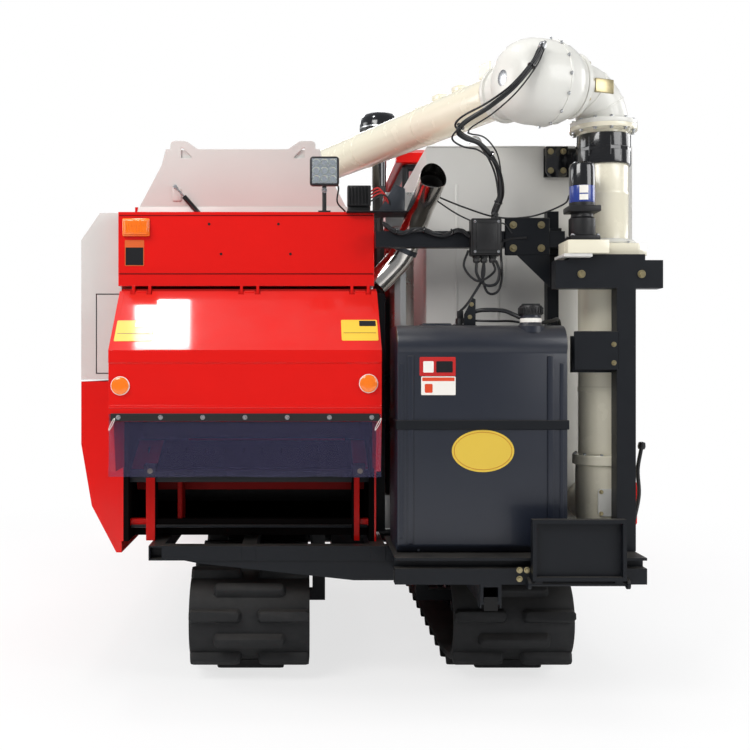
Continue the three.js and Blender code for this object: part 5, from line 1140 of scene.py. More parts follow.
def junction_box():
    """The box on the beam, its lid, glands and the cables that hang in loops below it."""
    dress("junction_box", BLACK, 0.005, 3)
    low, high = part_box("junction_box")
    bm = bmesh.new()
    add_box(bm, (low.x + 0.006, low.y - 0.006, low.z + 0.006),
            (high.x - 0.006, low.y + 0.001, high.z - 0.006), 0.004, 2)
    add_box(bm, (low.x + 0.020, low.y - 0.009, low.z + 0.020),
            (high.x - 0.020, low.y - 0.005, high.z - 0.020), 0.003, 2)
    finish_mesh("junction_lid", bm, BLACK, "root")
    bolts("junction_screws", [(x, low.y - 0.006, z) for x in (low.x + 0.014, high.x - 0.014)
                              for z in (low.z + 0.014, high.z - 0.014)], REAR, "root", 0.004, ZINC)
    bm = bmesh.new()
    centre_y = (low.y + high.y) / 2
    glands = [(0.545, centre_y, high.z, 1), (0.470, centre_y, low.z, -1), (0.500, centre_y, low.z, -1),
              (0.535, centre_y, low.z, -1)]
    for x, gy, z, up in glands:
        add_lathe(bm, [(0, 0), (0.0165, 0), (0.0165, 0.009), (0.0135, 0.010), (0.0150, 0.020),
                       (0.0120, 0.028), (0, 0.028)], (x, gy, z), (0, 0, up), 8)
    finish_mesh("junction_glands", bm, BLACK, "root", 25)
    for k, (route, radius) in enumerate((
        ([(0.470, centre_y, low.z - 0.02), (0.470, centre_y - 0.012, 1.69), (0.500, centre_y - 0.03, 1.645),
          (0.545, centre_y - 0.03, 1.650), (0.560, centre_y - 0.02, 1.70),
          (0.548, centre_y - 0.005, 1.745)], 0.0060),
        ([(0.500, centre_y, low.z - 0.02), (0.492, centre_y - 0.01, 1.68), (0.512, centre_y - 0.02, 1.615),
          (0.552, centre_y - 0.02, 1.618), (0.572, centre_y - 0.01, 1.68), (0.574, centre_y + 0.02, 1.800),
          (0.600, -2.235, 1.835), (0.680, -2.238, 1.842)], 0.0052),
        ([(0.500, centre_y, low.z - 0.02), (0.496, centre_y - 0.014, 1.68), (0.450, centre_y - 0.03, 1.60),
          (0.420, -2.31, 1.56), (0.392, -2.340, 1.535)], 0.0055),
        ([(0.535, centre_y, low.z - 0.02), (0.540, centre_y - 0.012, 1.70), (0.470, centre_y - 0.035, 1.66),
          (0.420, -2.26, 1.72), (0.440, -2.235, 1.79)], 0.0050),
    )):
        bm = bmesh.new()
        add_sweep(bm, smooth_path(route, 8), radius, 10)
        finish_mesh(f"junction_cable_{k}", bm, CABLE, "root")


def looms():
    """Tied loom along the beam and the thin wires that droop from it."""
    bm = bmesh.new()
    loom = smooth_path([(0.090, -2.236, 1.900), (0.16, -2.240, 1.862), (0.24, -2.243, 1.876),
                        (0.33, -2.240, 1.852), (0.40, -2.243, 1.872), (0.445, -2.245, 1.850)], 10)
    for k in range(5):
        add_sweep(bm, [p + Vector((0, 0.0045 * math.sin(i * 0.35 + k * 1.3),
                                   0.006 * math.cos(i * 0.29 + k * 1.9))) for i, p in enumerate(loom)],
                  0.0052, 8)
    finish_mesh("beam_loom", bm, CABLE, "root")
    for k, t in enumerate((8, 22, 36)):
        bm = bmesh.new()
        add_lathe(bm, [(0.0145, -0.003), (0.0165, 0), (0.0145, 0.003)], loom[t], loom[t + 1] - loom[t], 14)
        finish_mesh(f"loom_tie_{k}", bm, GLOSS_BLACK, "root")
    bm = bmesh.new()
    add_sweep(bm, smooth_path([(0.300, -2.225, 2.020), (0.42, -2.240, 1.968), (0.56, -2.245, 1.925),
                               (0.70, -2.240, 1.930), (0.80, -2.36, 1.960), (0.815, -2.40, 1.99)], 10),
              0.0036, 8)
    add_sweep(bm, smooth_path([(0.300, -2.225, 2.005), (0.40, -2.245, 1.935), (0.50, -2.25, 1.895),
                               (0.58, -2.25, 1.90), (0.62, -2.235, 1.86)], 10), 0.0032, 8)
    finish_mesh("drooping_wires", bm, CABLE, "root")


def bracket_plates():
    """Bolted plates on the beam and posts, and the drain lever."""
    bm = bmesh.new()
    add_box(bm, (0.590, -2.2365, 1.770), (0.775, -2.2305, 1.925), 0.003, 1)
    add_prism(bm, [(0.640, 1.771), (0.775, 1.771), (0.775, 1.640)], "y", -2.2365, -2.2305, 0.001)
    finish_mesh("beam_bracket_plate", bm, FRAME, "root")
    bolts("beam_plate_bolts", [(x, -2.2365, z) for x in (0.625, 0.740) for z in (1.800, 1.895)], REAR,
          "root", 0.0105)
    bm = bmesh.new()
    outline = [(0.783, 2.240), (0.876, 2.240), (0.876, 2.135), (0.868, 2.116), (0.850, 2.110), (0.808, 2.110),
               (0.791, 2.116), (0.783, 2.135)]
    add_prism(bm, outline, "y", -2.130, -2.122, 0.002)
    finish_mesh("post_top_plate", bm, GLOSS_BLACK, "root")
    bolts("post_top_bolts", [(x, -2.130, z) for x in (0.803, 0.856) for z in (2.138, 2.218)], REAR, "root",
          0.009)
    bm = bmesh.new()
    add_box(bm, (0.820, -2.4545, 1.300), (0.995, -2.4485, 1.452), 0.003, 1)
    finish_mesh("post_side_plate", bm, FRAME, "root")
    bolts("post_side_bolts", [(0.976, -2.4545, 1.400), (0.976, -2.4545, 1.328)], REAR, "root", 0.007)
    bolts("channel_bolts", [(x, -2.4505, 1.675) for x in (0.850, 1.085)], REAR, "root", 0.011)
    bolts("collar_bolts", [(x, -2.02, z) for x in (0.825, 1.115) for z in (2.150, 2.235)], REAR, "root",
          0.009, DARK_STEEL)
    bm = bmesh.new()
    add_prism(bm, [(1.066, 0.90), (1.115, 0.84), (1.115, 0.68), (1.066, 0.62)], "y", -2.30, -2.27, 0.003)
    finish_mesh("lever_bracket", bm, RED, "root")
    bm = bmesh.new()
    add_sweep(bm, smooth_path([(1.100, -2.31, 0.70), (1.112, -2.33, 0.80), (1.104, -2.34, 0.90),
                               (1.118, -2.34, 0.985)], 6), 0.008, 12)
    add_lathe(bm, [(0, 0), (0.013, 0.003), (0.016, 0.014), (0.013, 0.03), (0, 0.033)], (1.118, -2.34, 0.98),
              (0.1, 0, 1), 20)
    finish_mesh("drain_lever", bm, BLACK, "root")


def stacked_boxes():
    """Small finned controller, coloured wires and plates between the thresher and the tank."""
    y = -2.12
    bm = bmesh.new()
    add_box(bm, (-0.052, y - 0.045, 1.985), (0.046, y, 2.070), 0.004)
    for k in range(7):
        add_box(bm, (-0.048 + k * 0.0135, y - 0.056, 1.990), (-0.0435 + k * 0.0135, y - 0.044, 2.065),
                0.001, 1)
    add_box(bm, (-0.050, y - 0.03, 1.962), (0.044, y + 0.03, 1.987), 0.003)
    finish_mesh("controller", bm, BLACK, "root")
    wire_red = surface("wire_red", srgb(190, 24, 20), 0.4)
    for k in range(4):
        bm = bmesh.new()
        x = 0.048 + k * 0.008
        add_sweep(bm, smooth_path([(0.040, y - 0.02 - k * 0.004, 2.045 - k * 0.014),
                                   (x + 0.03, y - 0.035, 2.060 - k * 0.010),
                                   (x + 0.055, y - 0.02, 2.02 - k * 0.008), (x + 0.045, y, 1.968)], 6),
                  0.0034, 6)
        finish_mesh(f"controller_wire_{k}", bm, wire_red if k < 3 else CABLE, "root")
    bm = bmesh.new()
    add_prism(bm, [(0.075, 1.9615), (0.190, 1.9615), (0.190, 2.060), (0.150, 2.078)], "y", y - 0.020,
              y - 0.014, 0.001)
    finish_mesh("loom_plate", bm, DARK_STEEL, "root")
    bm = bmesh.new()
    add_box(bm, (-0.056, y - 0.062, 1.955), (0.215, y + 0.10, 1.9625), 0.002, 1)
    finish_mesh("controller_shelf", bm, FRAME, "root")


def exhaust_and_elevator():
    """Wide polished pipe, cut off at a slant, and the bright tube of the grain elevator."""
    corners = [(0.075, -2.058, 1.668), (0.128, -2.060, 1.722), (0.184, -2.066, 1.790), (0.222, -2.098, 1.880),
               (0.250, -2.190, 1.968), (0.268, -2.300, 2.020), (0.280, -2.400, 2.066)]
    route = smooth_path(corners, 8)
    count, around, radius, wall = len(route), 48, 0.0530, 0.0020
    sides = [frame_along(Vector(b) - Vector(a)) for a, b in zip(route, route[1:])]
    sides.append(sides[-1])
    way = sides[-1][0]
    bm = bmesh.new()
    rings = []
    lining = [(k, radius - wall) for k in range(count - 1, count - 12, -1)]
    for k, r in [(k, radius) for k in range(count)] + lining:
        axis = sides[k][0]
        across = RIGHT - axis * axis.x
        across.normalize()
        up = axis.cross(across)
        up *= -1 if up.z < 0 else 1
        ring = []
        for i in range(around):
            a = i / around * TAU
            lean = -0.030 * (1 + math.sin(a)) if k == count - 1 else 0.0
            tall = 1 + 0.42 * max(0.0, (k - count + 9) / 8) * (1 + math.sin(a)) / 2
            ring.append(bm.verts.new(Vector(route[k]) + (across * math.cos(a) + up * math.sin(a) * tall) * r
                                     + axis * lean))
        rings.append(ring)
    for a, b in zip(rings, rings[1:]):
        for i in range(around):
            bm.faces.new((a[i], a[(i + 1) % around], b[(i + 1) % around], b[i]))
    bm.faces.new(rings[-1])
    bmesh.ops.recalc_face_normals(bm, faces=bm.faces)
    finish_mesh("exhaust_body", bm, STEEL, "root", 40, "exhaust_pipe")
    bm = bmesh.new()
    add_lathe(bm, [(0, -0.120), (0.0500, -0.120), (0.0506, -0.064)], route[-1], way, 40)
    finish_mesh("exhaust_inside", bm, SHADOW, "root")
    bm = bmesh.new()
    middle = len(route) // 2
    add_lathe(bm, [(0.0532, -0.011), (0.0560, -0.010), (0.0560, 0.010), (0.0532, 0.011)], route[middle - 6],
              Vector(route[middle - 5]) - Vector(route[middle - 6]), 40)
    finish_mesh("exhaust_clamp", bm, DARK_STEEL, "root")
    dress("grain_elevator", GALVANISED, 0.003)


def grain_tank():
    dress("grain_tank", GREY, 0.005, 3)
    dress("tank_lid", GREY, 0.005, 3)
    low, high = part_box("grain_tank")
    y = low.y
    bm = bmesh.new()
    add_box(bm, (low.x + 0.002, y - 0.0035, high.z - 0.028), (high.x - 0.002, y + 0.002, high.z - 0.022),
            0.0015, 1)
    for x in (0.42, 0.60):
        add_box(bm, (x, y - 0.003, 1.52), (x + 0.012, y + 0.002, 2.10), 0.002, 2)
    finish_mesh("tank_seams", bm, GREY, "root")
    bm = bmesh.new()
    loop = [(0.505 + 0.026 * math.cos(math.radians(a)), y - 0.004, high.z - 0.014 + 0.030
             * math.sin(math.radians(a))) for a in range(0, 181, 15)]
    add_sweep(bm, loop, 0.005, 8)
    finish_mesh("tank_lifting_clip", bm, ZINC, "root")
    bm = bmesh.new()
    for k in range(4):
        yy = low.y + 0.18 + k * 0.36
        add_box(bm, (high.x - 0.002, yy, 1.45), (high.x + 0.0008, yy + 0.020, 2.18), 0.0006, 1)
    finish_mesh("tank_side_ribs", bm, GREY, "root")
    bm = bmesh.new()
    glass = [(0.52, y - 0.0025, 1.66), (0.64, y + 0.002, 1.90)]
    add_box(bm, *glass, 0.002, 1)
    finish_mesh("tank_sight_frame", bm, GREY, "root")
    lid_low, lid_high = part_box("tank_lid")
    bm = bmesh.new()
    middle = (lid_low + lid_high) / 2
    for s in (-1, 1):
        add_sweep(bm, smooth_path([(lid_low.x + 0.05, middle.y + s * 0.06, lid_high.z - 0.001),
                                   (lid_low.x + 0.045, middle.y + s * 0.055, lid_high.z + 0.028),
                                   (lid_low.x + 0.045, middle.y, lid_high.z + 0.030)], 6), 0.006, 10)
    for k in range(3):
        x = lid_low.x + 0.12 + k * 0.14
        add_box(bm, (x, lid_low.y + 0.06, lid_high.z - 0.004),
                (x + 0.02, lid_high.y - 0.06, lid_high.z + 0.004), 0.003, 2)
    finish_mesh("tank_lid_ribs", bm, GREY, "tank_lid")


# ------------------------------------------------------------------ undercarriage

IDLER, SPROCKET = (-2.030, 0.250, 0.185), (0.030, 0.300, 0.175)
GROUND_REAR, GROUND_FRONT, GROUND_BEND, LUG, BELT = -1.800, -0.130, 0.120, 0.035, 0.030
TRACK_X = {"left": -0.460, "right": 0.635}


def band_points(inset, count=900):
    """Evenly spaced points and outward normals along the loop that the band follows, in [y, z]."""
    circles = [(*IDLER[:2], IDLER[2] - inset), (GROUND_REAR, LUG + GROUND_BEND, GROUND_BEND - inset),
               (GROUND_FRONT, LUG + GROUND_BEND, GROUND_BEND - inset), (*SPROCKET[:2], SPROCKET[2] - inset)]
    outline = []
    for i, (ay, az, ar) in enumerate(circles):
        by, bz, br = circles[(i + 1) % 4]
        cy, cz, cr = circles[(i - 1) % 4]

        def leaving(ay, az, ar, by, bz, br):
            gap = math.hypot(by - ay, bz - az)
            return math.atan2(bz - az, by - ay) - math.acos(max(-1, min(1, (ar - br) / gap)))

        start, end = leaving(cy, cz, cr, ay, az, ar), leaving(ay, az, ar, by, bz, br)
        while end < start:
            end += TAU
        for k in range(41):
            a = start + (end - start) * k / 40
            outline.append((ay + ar * math.cos(a), az + ar * math.sin(a)))
    lengths = [math.dist(outline[i], outline[(i + 1) % len(outline)]) for i in range(len(outline))]
    total, placed, at, passed = sum(lengths), [], 0, 0.0
    for k in range(count):
        want = total * k / count
        while passed + lengths[at] < want:
            passed += lengths[at]
            at += 1
        (y0, z0), (y1, z1) = outline[at], outline[(at + 1) % len(outline)]
        t = (want - passed) / max(lengths[at], 1e-9)
        way = Vector((0, y1 - y0, z1 - z0)).normalized()
        placed.append((Vector((0, y0 + (y1 - y0) * t, z0 + (z1 - z0) * t)), way, Vector((0, way.z, -way.y))))
    return placed, total


def track_band(side):
    """Rubber band: one centre block alternates with two side blocks, and guide horns run inside."""
    x = TRACK_X[side]
    placed, total = band_points(0.0)
    bm = bmesh.new()
    half = 0.250
    section = [(-half, -0.004), (-half + 0.006, 0.0), (half - 0.006, 0.0), (half, -0.004),
               (half, -BELT + 0.004), (half - 0.006, -BELT), (-half + 0.006, -BELT), (-half, -BELT + 0.004)]
    rings = [[bm.verts.new(Vector((x + a, 0, 0)) + point + out * b) for a, b in section] for point, _,
             out in placed[::4]]
    for i, ring in enumerate(rings):
        ahead = rings[(i + 1) % len(rings)]
        for j in range(len(section)):
            k = (j + 1) % len(section)
            bm.faces.new((ring[j], ring[k], ahead[k], ahead[j]))
    count = round(total / 0.102 / 2) * 2
    for n in range(count):
        point, way, out = placed[int(len(placed) * (n + 0.5) / count) % len(placed)]
        spans = ((-0.150, 0.150),) if n % 2 else ((-half, -0.032), (0.032, half))
        for inner, outer in spans:
            add_lug(bm, x, point, way, out, inner, outer)
    for n in range(count):
        point, way, out = placed[int(len(placed) * n / count)]
        for s in (-1, 1):
            middle = x + s * 0.052
            corners = []
            for dx, dw, drop in ((0.016, 0.022, BELT - 0.002), (0.009, 0.012, BELT + 0.034)):
                for sx, sw in ((-1, -1), (1, -1), (1, 1), (-1, 1)):
                    corners.append(bm.verts.new(Vector((middle + sx * dx, 0, 0)) + point + way * sw * dw
                                                - out * drop))
            add_hull_faces(bm, corners)
    finish_mesh(f"track_{side}_band", bm, RUBBER, "root", 40, f"track_{side}")


def add_hull_faces(bm, v):
    """The six faces of a block given as two rings of four corners."""
    for face in ((0, 3, 2, 1), (4, 5, 6, 7), (0, 1, 5, 4), (1, 2, 6, 5), (2, 3, 7, 6), (3, 0, 4, 7)):
        bm.faces.new([v[i] for i in face])


def add_lug(bm, x, point, way, out, inner, outer):
    """One tread block: wide at its root, stepped ends."""
    levels = [(0.0285, 0.0, 0.0), (0.0265, 0.006, 0.002), (0.0205, LUG - 0.003, 0.010), (0.0175, LUG, 0.013)]
    rings = []
    for half_width, height, draw in levels:
        a, b = inner + draw * (0.3 if abs(inner) > 0.2
                               else 1), outer - draw * (0.3 if abs(outer) > 0.2 else 1)
        spots = [(a, -0.55), (a + 0.012, -1), (b - 0.012, -1), (b, -0.55), (b, 0.55), (b - 0.012, 1),
                 (a + 0.012, 1), (a, 0.55)]
        ring = []
        for sx, sw in spots:
            place = Vector((x + sx, 0, 0)) + point + way * sw * half_width + out * height
            place.z = max(place.z, 0.0)
            ring.append(bm.verts.new(place))
        rings.append(ring)
    for p, q in zip(rings, rings[1:]):
        for j in range(8):
            k = (j + 1) % 8
            bm.faces.new((p[j], p[k], q[k], q[j]))
    bm.faces.new(rings[-1])
    bm.faces.new(list(reversed(rings[0])))


def undercarriage():
    for side, x in TRACK_X.items():
        track_band(side)
        dress(f"track_frame_{side}", FRAME, 0.003)
        bm = bmesh.new()
        for k in range(5):
            y = GROUND_REAR + (GROUND_FRONT - GROUND_REAR) * (k + 0.5) / 5
            for s in (-1, 1):
                add_lathe(bm, [(0, 0), (0.050, 0), (0.050, 0.012), (0.030, 0.018), (0.026, 0.026),
                               (0, 0.026)], (x + s * 0.110, y, 0.1353), (s, 0, 0), 32)
        for s in (-1, 1):
            add_lathe(bm, [(0, 0), (0.075, 0), (0.075, 0.012), (0.045, 0.022), (0.040, 0.036), (0, 0.036)],
                      (x + s * 0.045, IDLER[0], IDLER[1]), (s, 0, 0), 40)
            add_lathe(bm, [(0.118, 0), (0.130, 0.0), (0.130, 0.006), (0.118, 0.006)],
                      (x + s * 0.045, IDLER[0], IDLER[1]), (s, 0, 0), 48)
        finish_mesh(f"roller_hubs_{side}", bm, DARK_STEEL, "root")
        name = f"drive_sprocket_{side}"
        low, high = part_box(name)
        width = high.x - low.x
        outer = (high.z - low.z) / 2
        centre = Vector(((low.x + high.x) / 2, (low.y + high.y) / 2, (low.z + high.z) / 2))
        teeth, outline = 13, []
        for k in range(teeth):
            a = k / teeth * TAU
            for off, r in ((-0.30, 0.80), (-0.20, 0.82), (-0.11, 0.985), (0.11, 0.985), (0.20, 0.82),
                           (0.30, 0.80)):
                t = a + off * TAU / teeth * 1.4
                outline.append((centre.y + outer * r * math.cos(t), centre.z + outer * r * math.sin(t)))
        bm = bmesh.new()
        add_prism(bm, outline, "x", low.x + width * 0.30, high.x - width * 0.30, 0.0015)
        add_lathe(bm, [(0, 0), (outer * 0.55, 0), (outer * 0.58, 0.006), (outer * 0.58, width - 0.006),
                       (outer * 0.55, width), (0, width)], (low.x, centre.y, centre.z), RIGHT, 40)
        finish_mesh(f"sprocket_{side}_wheel", bm, DARK_STEEL, "root", 35, name)
        ring_of_bolts(f"sprocket_{side}_bolts", (high.x if side == "right" else low.x, centre.y, centre.z),
                      (1 if side == "right" else -1, 0, 0), outer * 0.42, 8, "root", 0.009, ZINC)
    dress("travel_gearbox", FRAME, 0.004)
    dress("chassis_frame", FRAME, 0.003)
    bm = bmesh.new()
    for x in (-0.460, 0.070):
        add_box(bm, (x - 0.030, -2.2525, 0.520), (x + 0.030, -2.2504, 0.580), 0.0008, 1)
    finish_mesh("rail_end_plates", bm, FRAME, "root")


def outlet_frame():
    dress("sieve_outlet_frame", OUTLET_FRAME, 0.003)
    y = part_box("sieve_outlet_frame")[0].y
    bm = bmesh.new()
    add_box(bm, (-0.970, y + 0.006, 0.826), (0.040, y + 0.075, 0.876), 0.003)
    add_box(bm, (-0.965, y + 0.004, 0.634), (0.036, y + 0.070, 0.646), 0.003)
    for x in (-0.905, -0.020):
        add_box(bm, (x - 0.004, y - 0.003, 0.846), (x + 0.046, y + 0.05, 0.902), 0.003)
    finish_mesh("outlet_bars", bm, FRAME, "root")
    bm = bmesh.new()
    add_box(bm, (-0.960, -1.960, 0.780), (0.030, -1.950, 0.842), 0.002, 1)
    add_box(bm, (-0.770, -2.080, 0.640), (-0.750, -1.95, 0.850), 0.003, 1)
    finish_mesh("outlet_inner_panel", bm, DARK_RED, "root")
    bm = bmesh.new()
    add_box(bm, (0.0705, -1.992, 0.600), (0.1180, -1.987, 1.630), 0.001, 1)
    add_box(bm, (0.0705, -1.990, 0.600), (0.0725, -1.780, 1.630), 0.0005, 1)
    finish_mesh("outlet_side_shield", bm, FRAME, "root")
    bm = bmesh.new()
    for k in range(11):
        x = -0.915 + k * 0.083
        add_box(bm, (x, -1.930, 0.905), (x + 0.004, -1.780, 0.960), 0.001, 1)
    add_box(bm, (-0.940, -1.935, 0.895), (0.010, -1.780, 0.905), 0.001, 1)
    finish_mesh("chaff_sieve", bm, SHADOW, "root")
    bm = bmesh.new()
    for z, y0, r in ((1.05, -1.83, 0.055), (0.78, -1.75, 0.075)):
        add_lathe(bm, round_bar(r, 0.96), (-0.945, y0, z), RIGHT, 32)
    finish_mesh("outlet_rollers", bm, SHADOW, "root")
    bolts("outlet_bolts", [(x, y - 0.003, 0.874) for x in (-0.882, 0.003)], REAR, "root", 0.008)


# ------------------------------------------------------------------ header

def header():
    dress("feeder_house", RED, 0.004)
    dress("header_frame", RED, 0.004)
    dress("ram_barrel", FRAME, 0.002)
    dress("ram_rod", ZINC, 0.001)
    half = 1.185
    header_auger(half)
    reel(half)
    cutter(half)
    bm = bmesh.new()
    for s in (-1, 1):
        add_prism(bm, [(2.30, 0.13), (2.645, 0.16), (2.6485, 0.178), (2.38, 0.425), (2.34, 0.41)], "x",
                  s * half - (0.004 if s > 0 else -0.0005), s * half + (-0.0005 if s > 0 else 0.004), 0.001)
    finish_mesh("divider_wear_plates", bm, ZINC, "header")
    bm = bmesh.new()
    for s in (-1, 1):
        edge = s * (half - 0.015)
        add_sweep(bm, smooth_path([(edge, 2.63, 0.182), (edge, 2.38, 0.436), (edge, 1.98, 0.646),
                                   (edge, 1.69, 0.766), (edge, 1.575, 0.930), (edge, 1.46, 0.936)], 5),
                  0.013, 12)
    finish_mesh("header_edge_tubes", bm, RED, "header")
    for k, x in enumerate((-0.95, -0.25, 0.30, 0.85)):
        bm = bmesh.new()
        add_box(bm, (x - 0.02, 1.468, 0.18), (x + 0.02, 1.502, 0.72), 0.006)
        finish_mesh(f"header_back_rib_{k}", bm, RED, "header")
    bolts("feeder_bolts", [(-0.75 - 0.0005, 1.0 + 0.1 * k, 0.75 - 0.02 * k) for k in range(4)],
          (-1, 0, 0), "header", 0.009, ZINC)


def header_auger(half):
    """The cross auger: its drum, two flights that meet at the feeder, and its fingers."""
    y, z, core, reach = 1.880, 0.420, 0.140, 0.258
    end = half - 0.030 - 0.006
    bm = bmesh.new()
    add_lathe(bm, [(0, 0), (core, 0), (core + 0.004, 0.002), (core + 0.004, 0.014), (core, 0.016),
                   (core, end * 2 - 0.016), (core + 0.004, end * 2 - 0.014),
                   (core + 0.004, end * 2 - 0.002), (core, end * 2), (0, end * 2)], (-end, y, z), RIGHT, 64)
    add_lathe(bm, round_bar(0.0215, half * 2 - 0.012), (-half + 0.006, y, z), RIGHT, 24)
    middle = -0.460
    for start, stop, hand in ((-end + 0.010, middle - 0.180, 1), (end - 0.010, middle + 0.180, 1)):
        turns = abs(stop - start) / 0.400
        steps = int(turns * 56)
        rows = []
        for i in range(steps + 1):
            t = i / steps
            a = hand * t * turns * TAU
            along = start + (stop - start) * t
            rows.append([bm.verts.new((along + dx, y + r * math.cos(a), z + r * math.sin(a))) for r,
                         dx in ((core - 0.006, -0.0025), (reach, -0.0015), (reach, 0.0015),
                                (core - 0.006, 0.0025))])
        for a, b in zip(rows, rows[1:]):
            for j in range(4):
                k = (j + 1) % 4
                bm.faces.new((a[j], a[k], b[k], b[j]))
        bm.faces.new(rows[0])
        bm.faces.new(list(reversed(rows[-1])))
    finish_mesh("header_auger_screw", bm, RED, "header_auger", 35, "header_auger")
    bm = bmesh.new()
    for row in range(4):
        for k in range(4):
            a = (k / 4 + row / 8) * TAU
            place = Vector((middle - 0.13 + row * 0.087, y + core * math.cos(a), z + core * math.sin(a)))
            add_lathe(bm, [(0, -0.004), (0.016, -0.004), (0.016, 0.004), (0.008, 0.006), (0.0075, 0.098),
                           (0.005, 0.104), (0, 0.104)], place, (0, math.cos(a), math.sin(a)), 14)
    finish_mesh("auger_fingers", bm, ZINC, "header_auger")


def reel(half):
    y, z, r, bar_r = 2.230, 1.000, 0.400, 0.018
    reach = half - 0.089
    bm = bmesh.new()
    add_lathe(bm, [(0, 0), (0.024, 0), (0.024, 0.020), (0.030, 0.022), (0.030, reach * 2 + 0.056),
                   (0.024, reach * 2 + 0.058), (0.024, reach * 2 + 0.074), (0, reach * 2 + 0.074)],
              (-reach - 0.037, y, z), RIGHT, 32)
    bat = r - bar_r - 0.008
    for i in range(5):
        a = i / 5 * TAU + 0.3
        cy, cz = y + bat * math.cos(a), z + bat * math.sin(a)
        add_lathe(bm, round_bar(bar_r, reach * 2), (-reach, cy, cz), RIGHT, 20)
        for x in (-reach + 0.020, 0.0, reach - 0.020):
            across = Vector((0, -math.sin(a), math.cos(a)))
            out = Vector((0, math.cos(a), math.sin(a)))
            inner, outer = Vector((x, y, z)) + out * 0.025, Vector((x, y, z)) + out * (bat - 0.01)
            ring = []
            for place, width in ((inner, 0.030), (outer, 0.016)):
                for dx, dw in ((-0.004, -1), (0.004, -1), (0.004, 1), (-0.004, 1)):
                    ring.append(bm.verts.new(place + Vector((dx, 0, 0)) + across * dw * width))
            add_hull_faces(bm, ring)
            nxt = (i + 1) / 5 * TAU + 0.3
            p = Vector((x, y + bat * 0.55 * math.cos(a), z + bat * 0.55 * math.sin(a)))
            q = Vector((x, y + bat * 0.55 * math.cos(nxt), z + bat * 0.55 * math.sin(nxt)))
            add_sweep(bm, [p, q], 0.006, 8)
    finish_mesh("reel_frame", bm, RED, "reel", 35, "reel")
    bm = bmesh.new()
    for i in range(5):
        a = i / 5 * TAU + 0.3
        cy, cz = y + bat * math.cos(a), z + bat * math.sin(a)
        for k in range(27):
            x = -reach + 0.045 + (reach * 2 - 0.09) * k / 26
            add_lathe(bm, [(bar_r - 0.002, -0.006), (bar_r + 0.0032, -0.005), (bar_r + 0.0032, 0.005),
                           (bar_r - 0.002, 0.006)], (x, cy, cz), RIGHT, 12)
            side = Vector((0, -math.cos(a) * 0.25 - 0.0,
                           -math.sin(a) * 0.25)) + Vector((0, -math.sin(a), math.cos(a))) * -0.97
            start = Vector((x, cy, cz))
            add_sweep(bm, [start, start + side * 0.045, start + side * 0.098], 0.0028, 6,
                      radii=[0.0030, 0.0028, 0.0016])
    finish_mesh("reel_tines", bm, ZINC, "reel")
    dress("reel_arms", RED, 0.003)


def cutter(half):
    low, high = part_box("cutter_bar")
    front, pitch = 2.400, 0.0762
    inner = half - 0.030 - 0.0003
    count = int(inner * 2 / pitch)
    start = -count / 2 * pitch
    bm = bmesh.new()
    add_box(bm, (-inner, 2.2905, low.z), (inner, 2.334, high.z - 0.006), 0.002, 1)
    for i in range(count):
        x = start + (i + 0.5) * pitch
        ring = []
        for y0, w, z0, z1 in ((2.325, 0.017, low.z, high.z), (front, 0.0035, low.z + 0.005, high.z - 0.006)):
            ring += [bm.verts.new(p) for p in ((x - w, y0, z0), (x + w, y0, z0), (x + w * 0.8, y0, z1),
                                               (x - w * 0.8, y0, z1))]
        add_hull_faces(bm, ring)
    finish_mesh("knife_guards", bm, DARK_STEEL, "header", 25, "cutter_bar")
    bm = bmesh.new()
    for i in range(count - 1):
        x = start + (i + 1) * pitch
        ring = []
        for z0 in (high.z - 0.0058, high.z - 0.0032):
            ring += [bm.verts.new(p) for p in ((x - 0.036, 2.318, z0), (x + 0.036, 2.318, z0),
                                               (x + 0.006, 2.378, z0), (x - 0.006, 2.378, z0))]
        add_hull_faces(bm, ring)
    add_box(bm, (-inner + 0.01, 2.300, high.z - 0.006), (inner - 0.01, 2.322, high.z - 0.001), 0.001, 1)
    finish_mesh("knife_sections", bm, ZINC, "header")


# ------------------------------------------------------------------ engine and operator's place

def soft_pad(name, node, body, low, high, stitch):
    """Upholstered block with rounded edges and stitched channels."""
    bm = bmesh.new()
    add_box(bm, low, high, 0.028, 5)
    bmesh.ops.subdivide_edges(bm, edges=[e for e in bm.edges if e.calc_length() > 0.05], cuts=9,
                              use_grid_fill=True)
    middle, size = (Vector(low) + Vector(high)) / 2, Vector(high) - Vector(low)
    axis = min(range(3), key=lambda i: size[i])
    others = [i for i in range(3) if i != axis]
    for vert in bm.verts:
        u, v = ((vert.co[i] - middle[i]) / (size[i] / 2) for i in others)
        side = (vert.co[axis] - middle[axis]) / (size[axis] / 2)
        channel = stitch * (0.5 + 0.5 * math.cos(v * math.pi * 5)) ** 6 * max(0, 1 - u ** 4)
        vert.co[axis] += (-1 if side > 0 else 0.25) * channel * min(1, abs(side) * 1.5)
    pad = finish_mesh(name, bm, VINYL, body, 70, node)


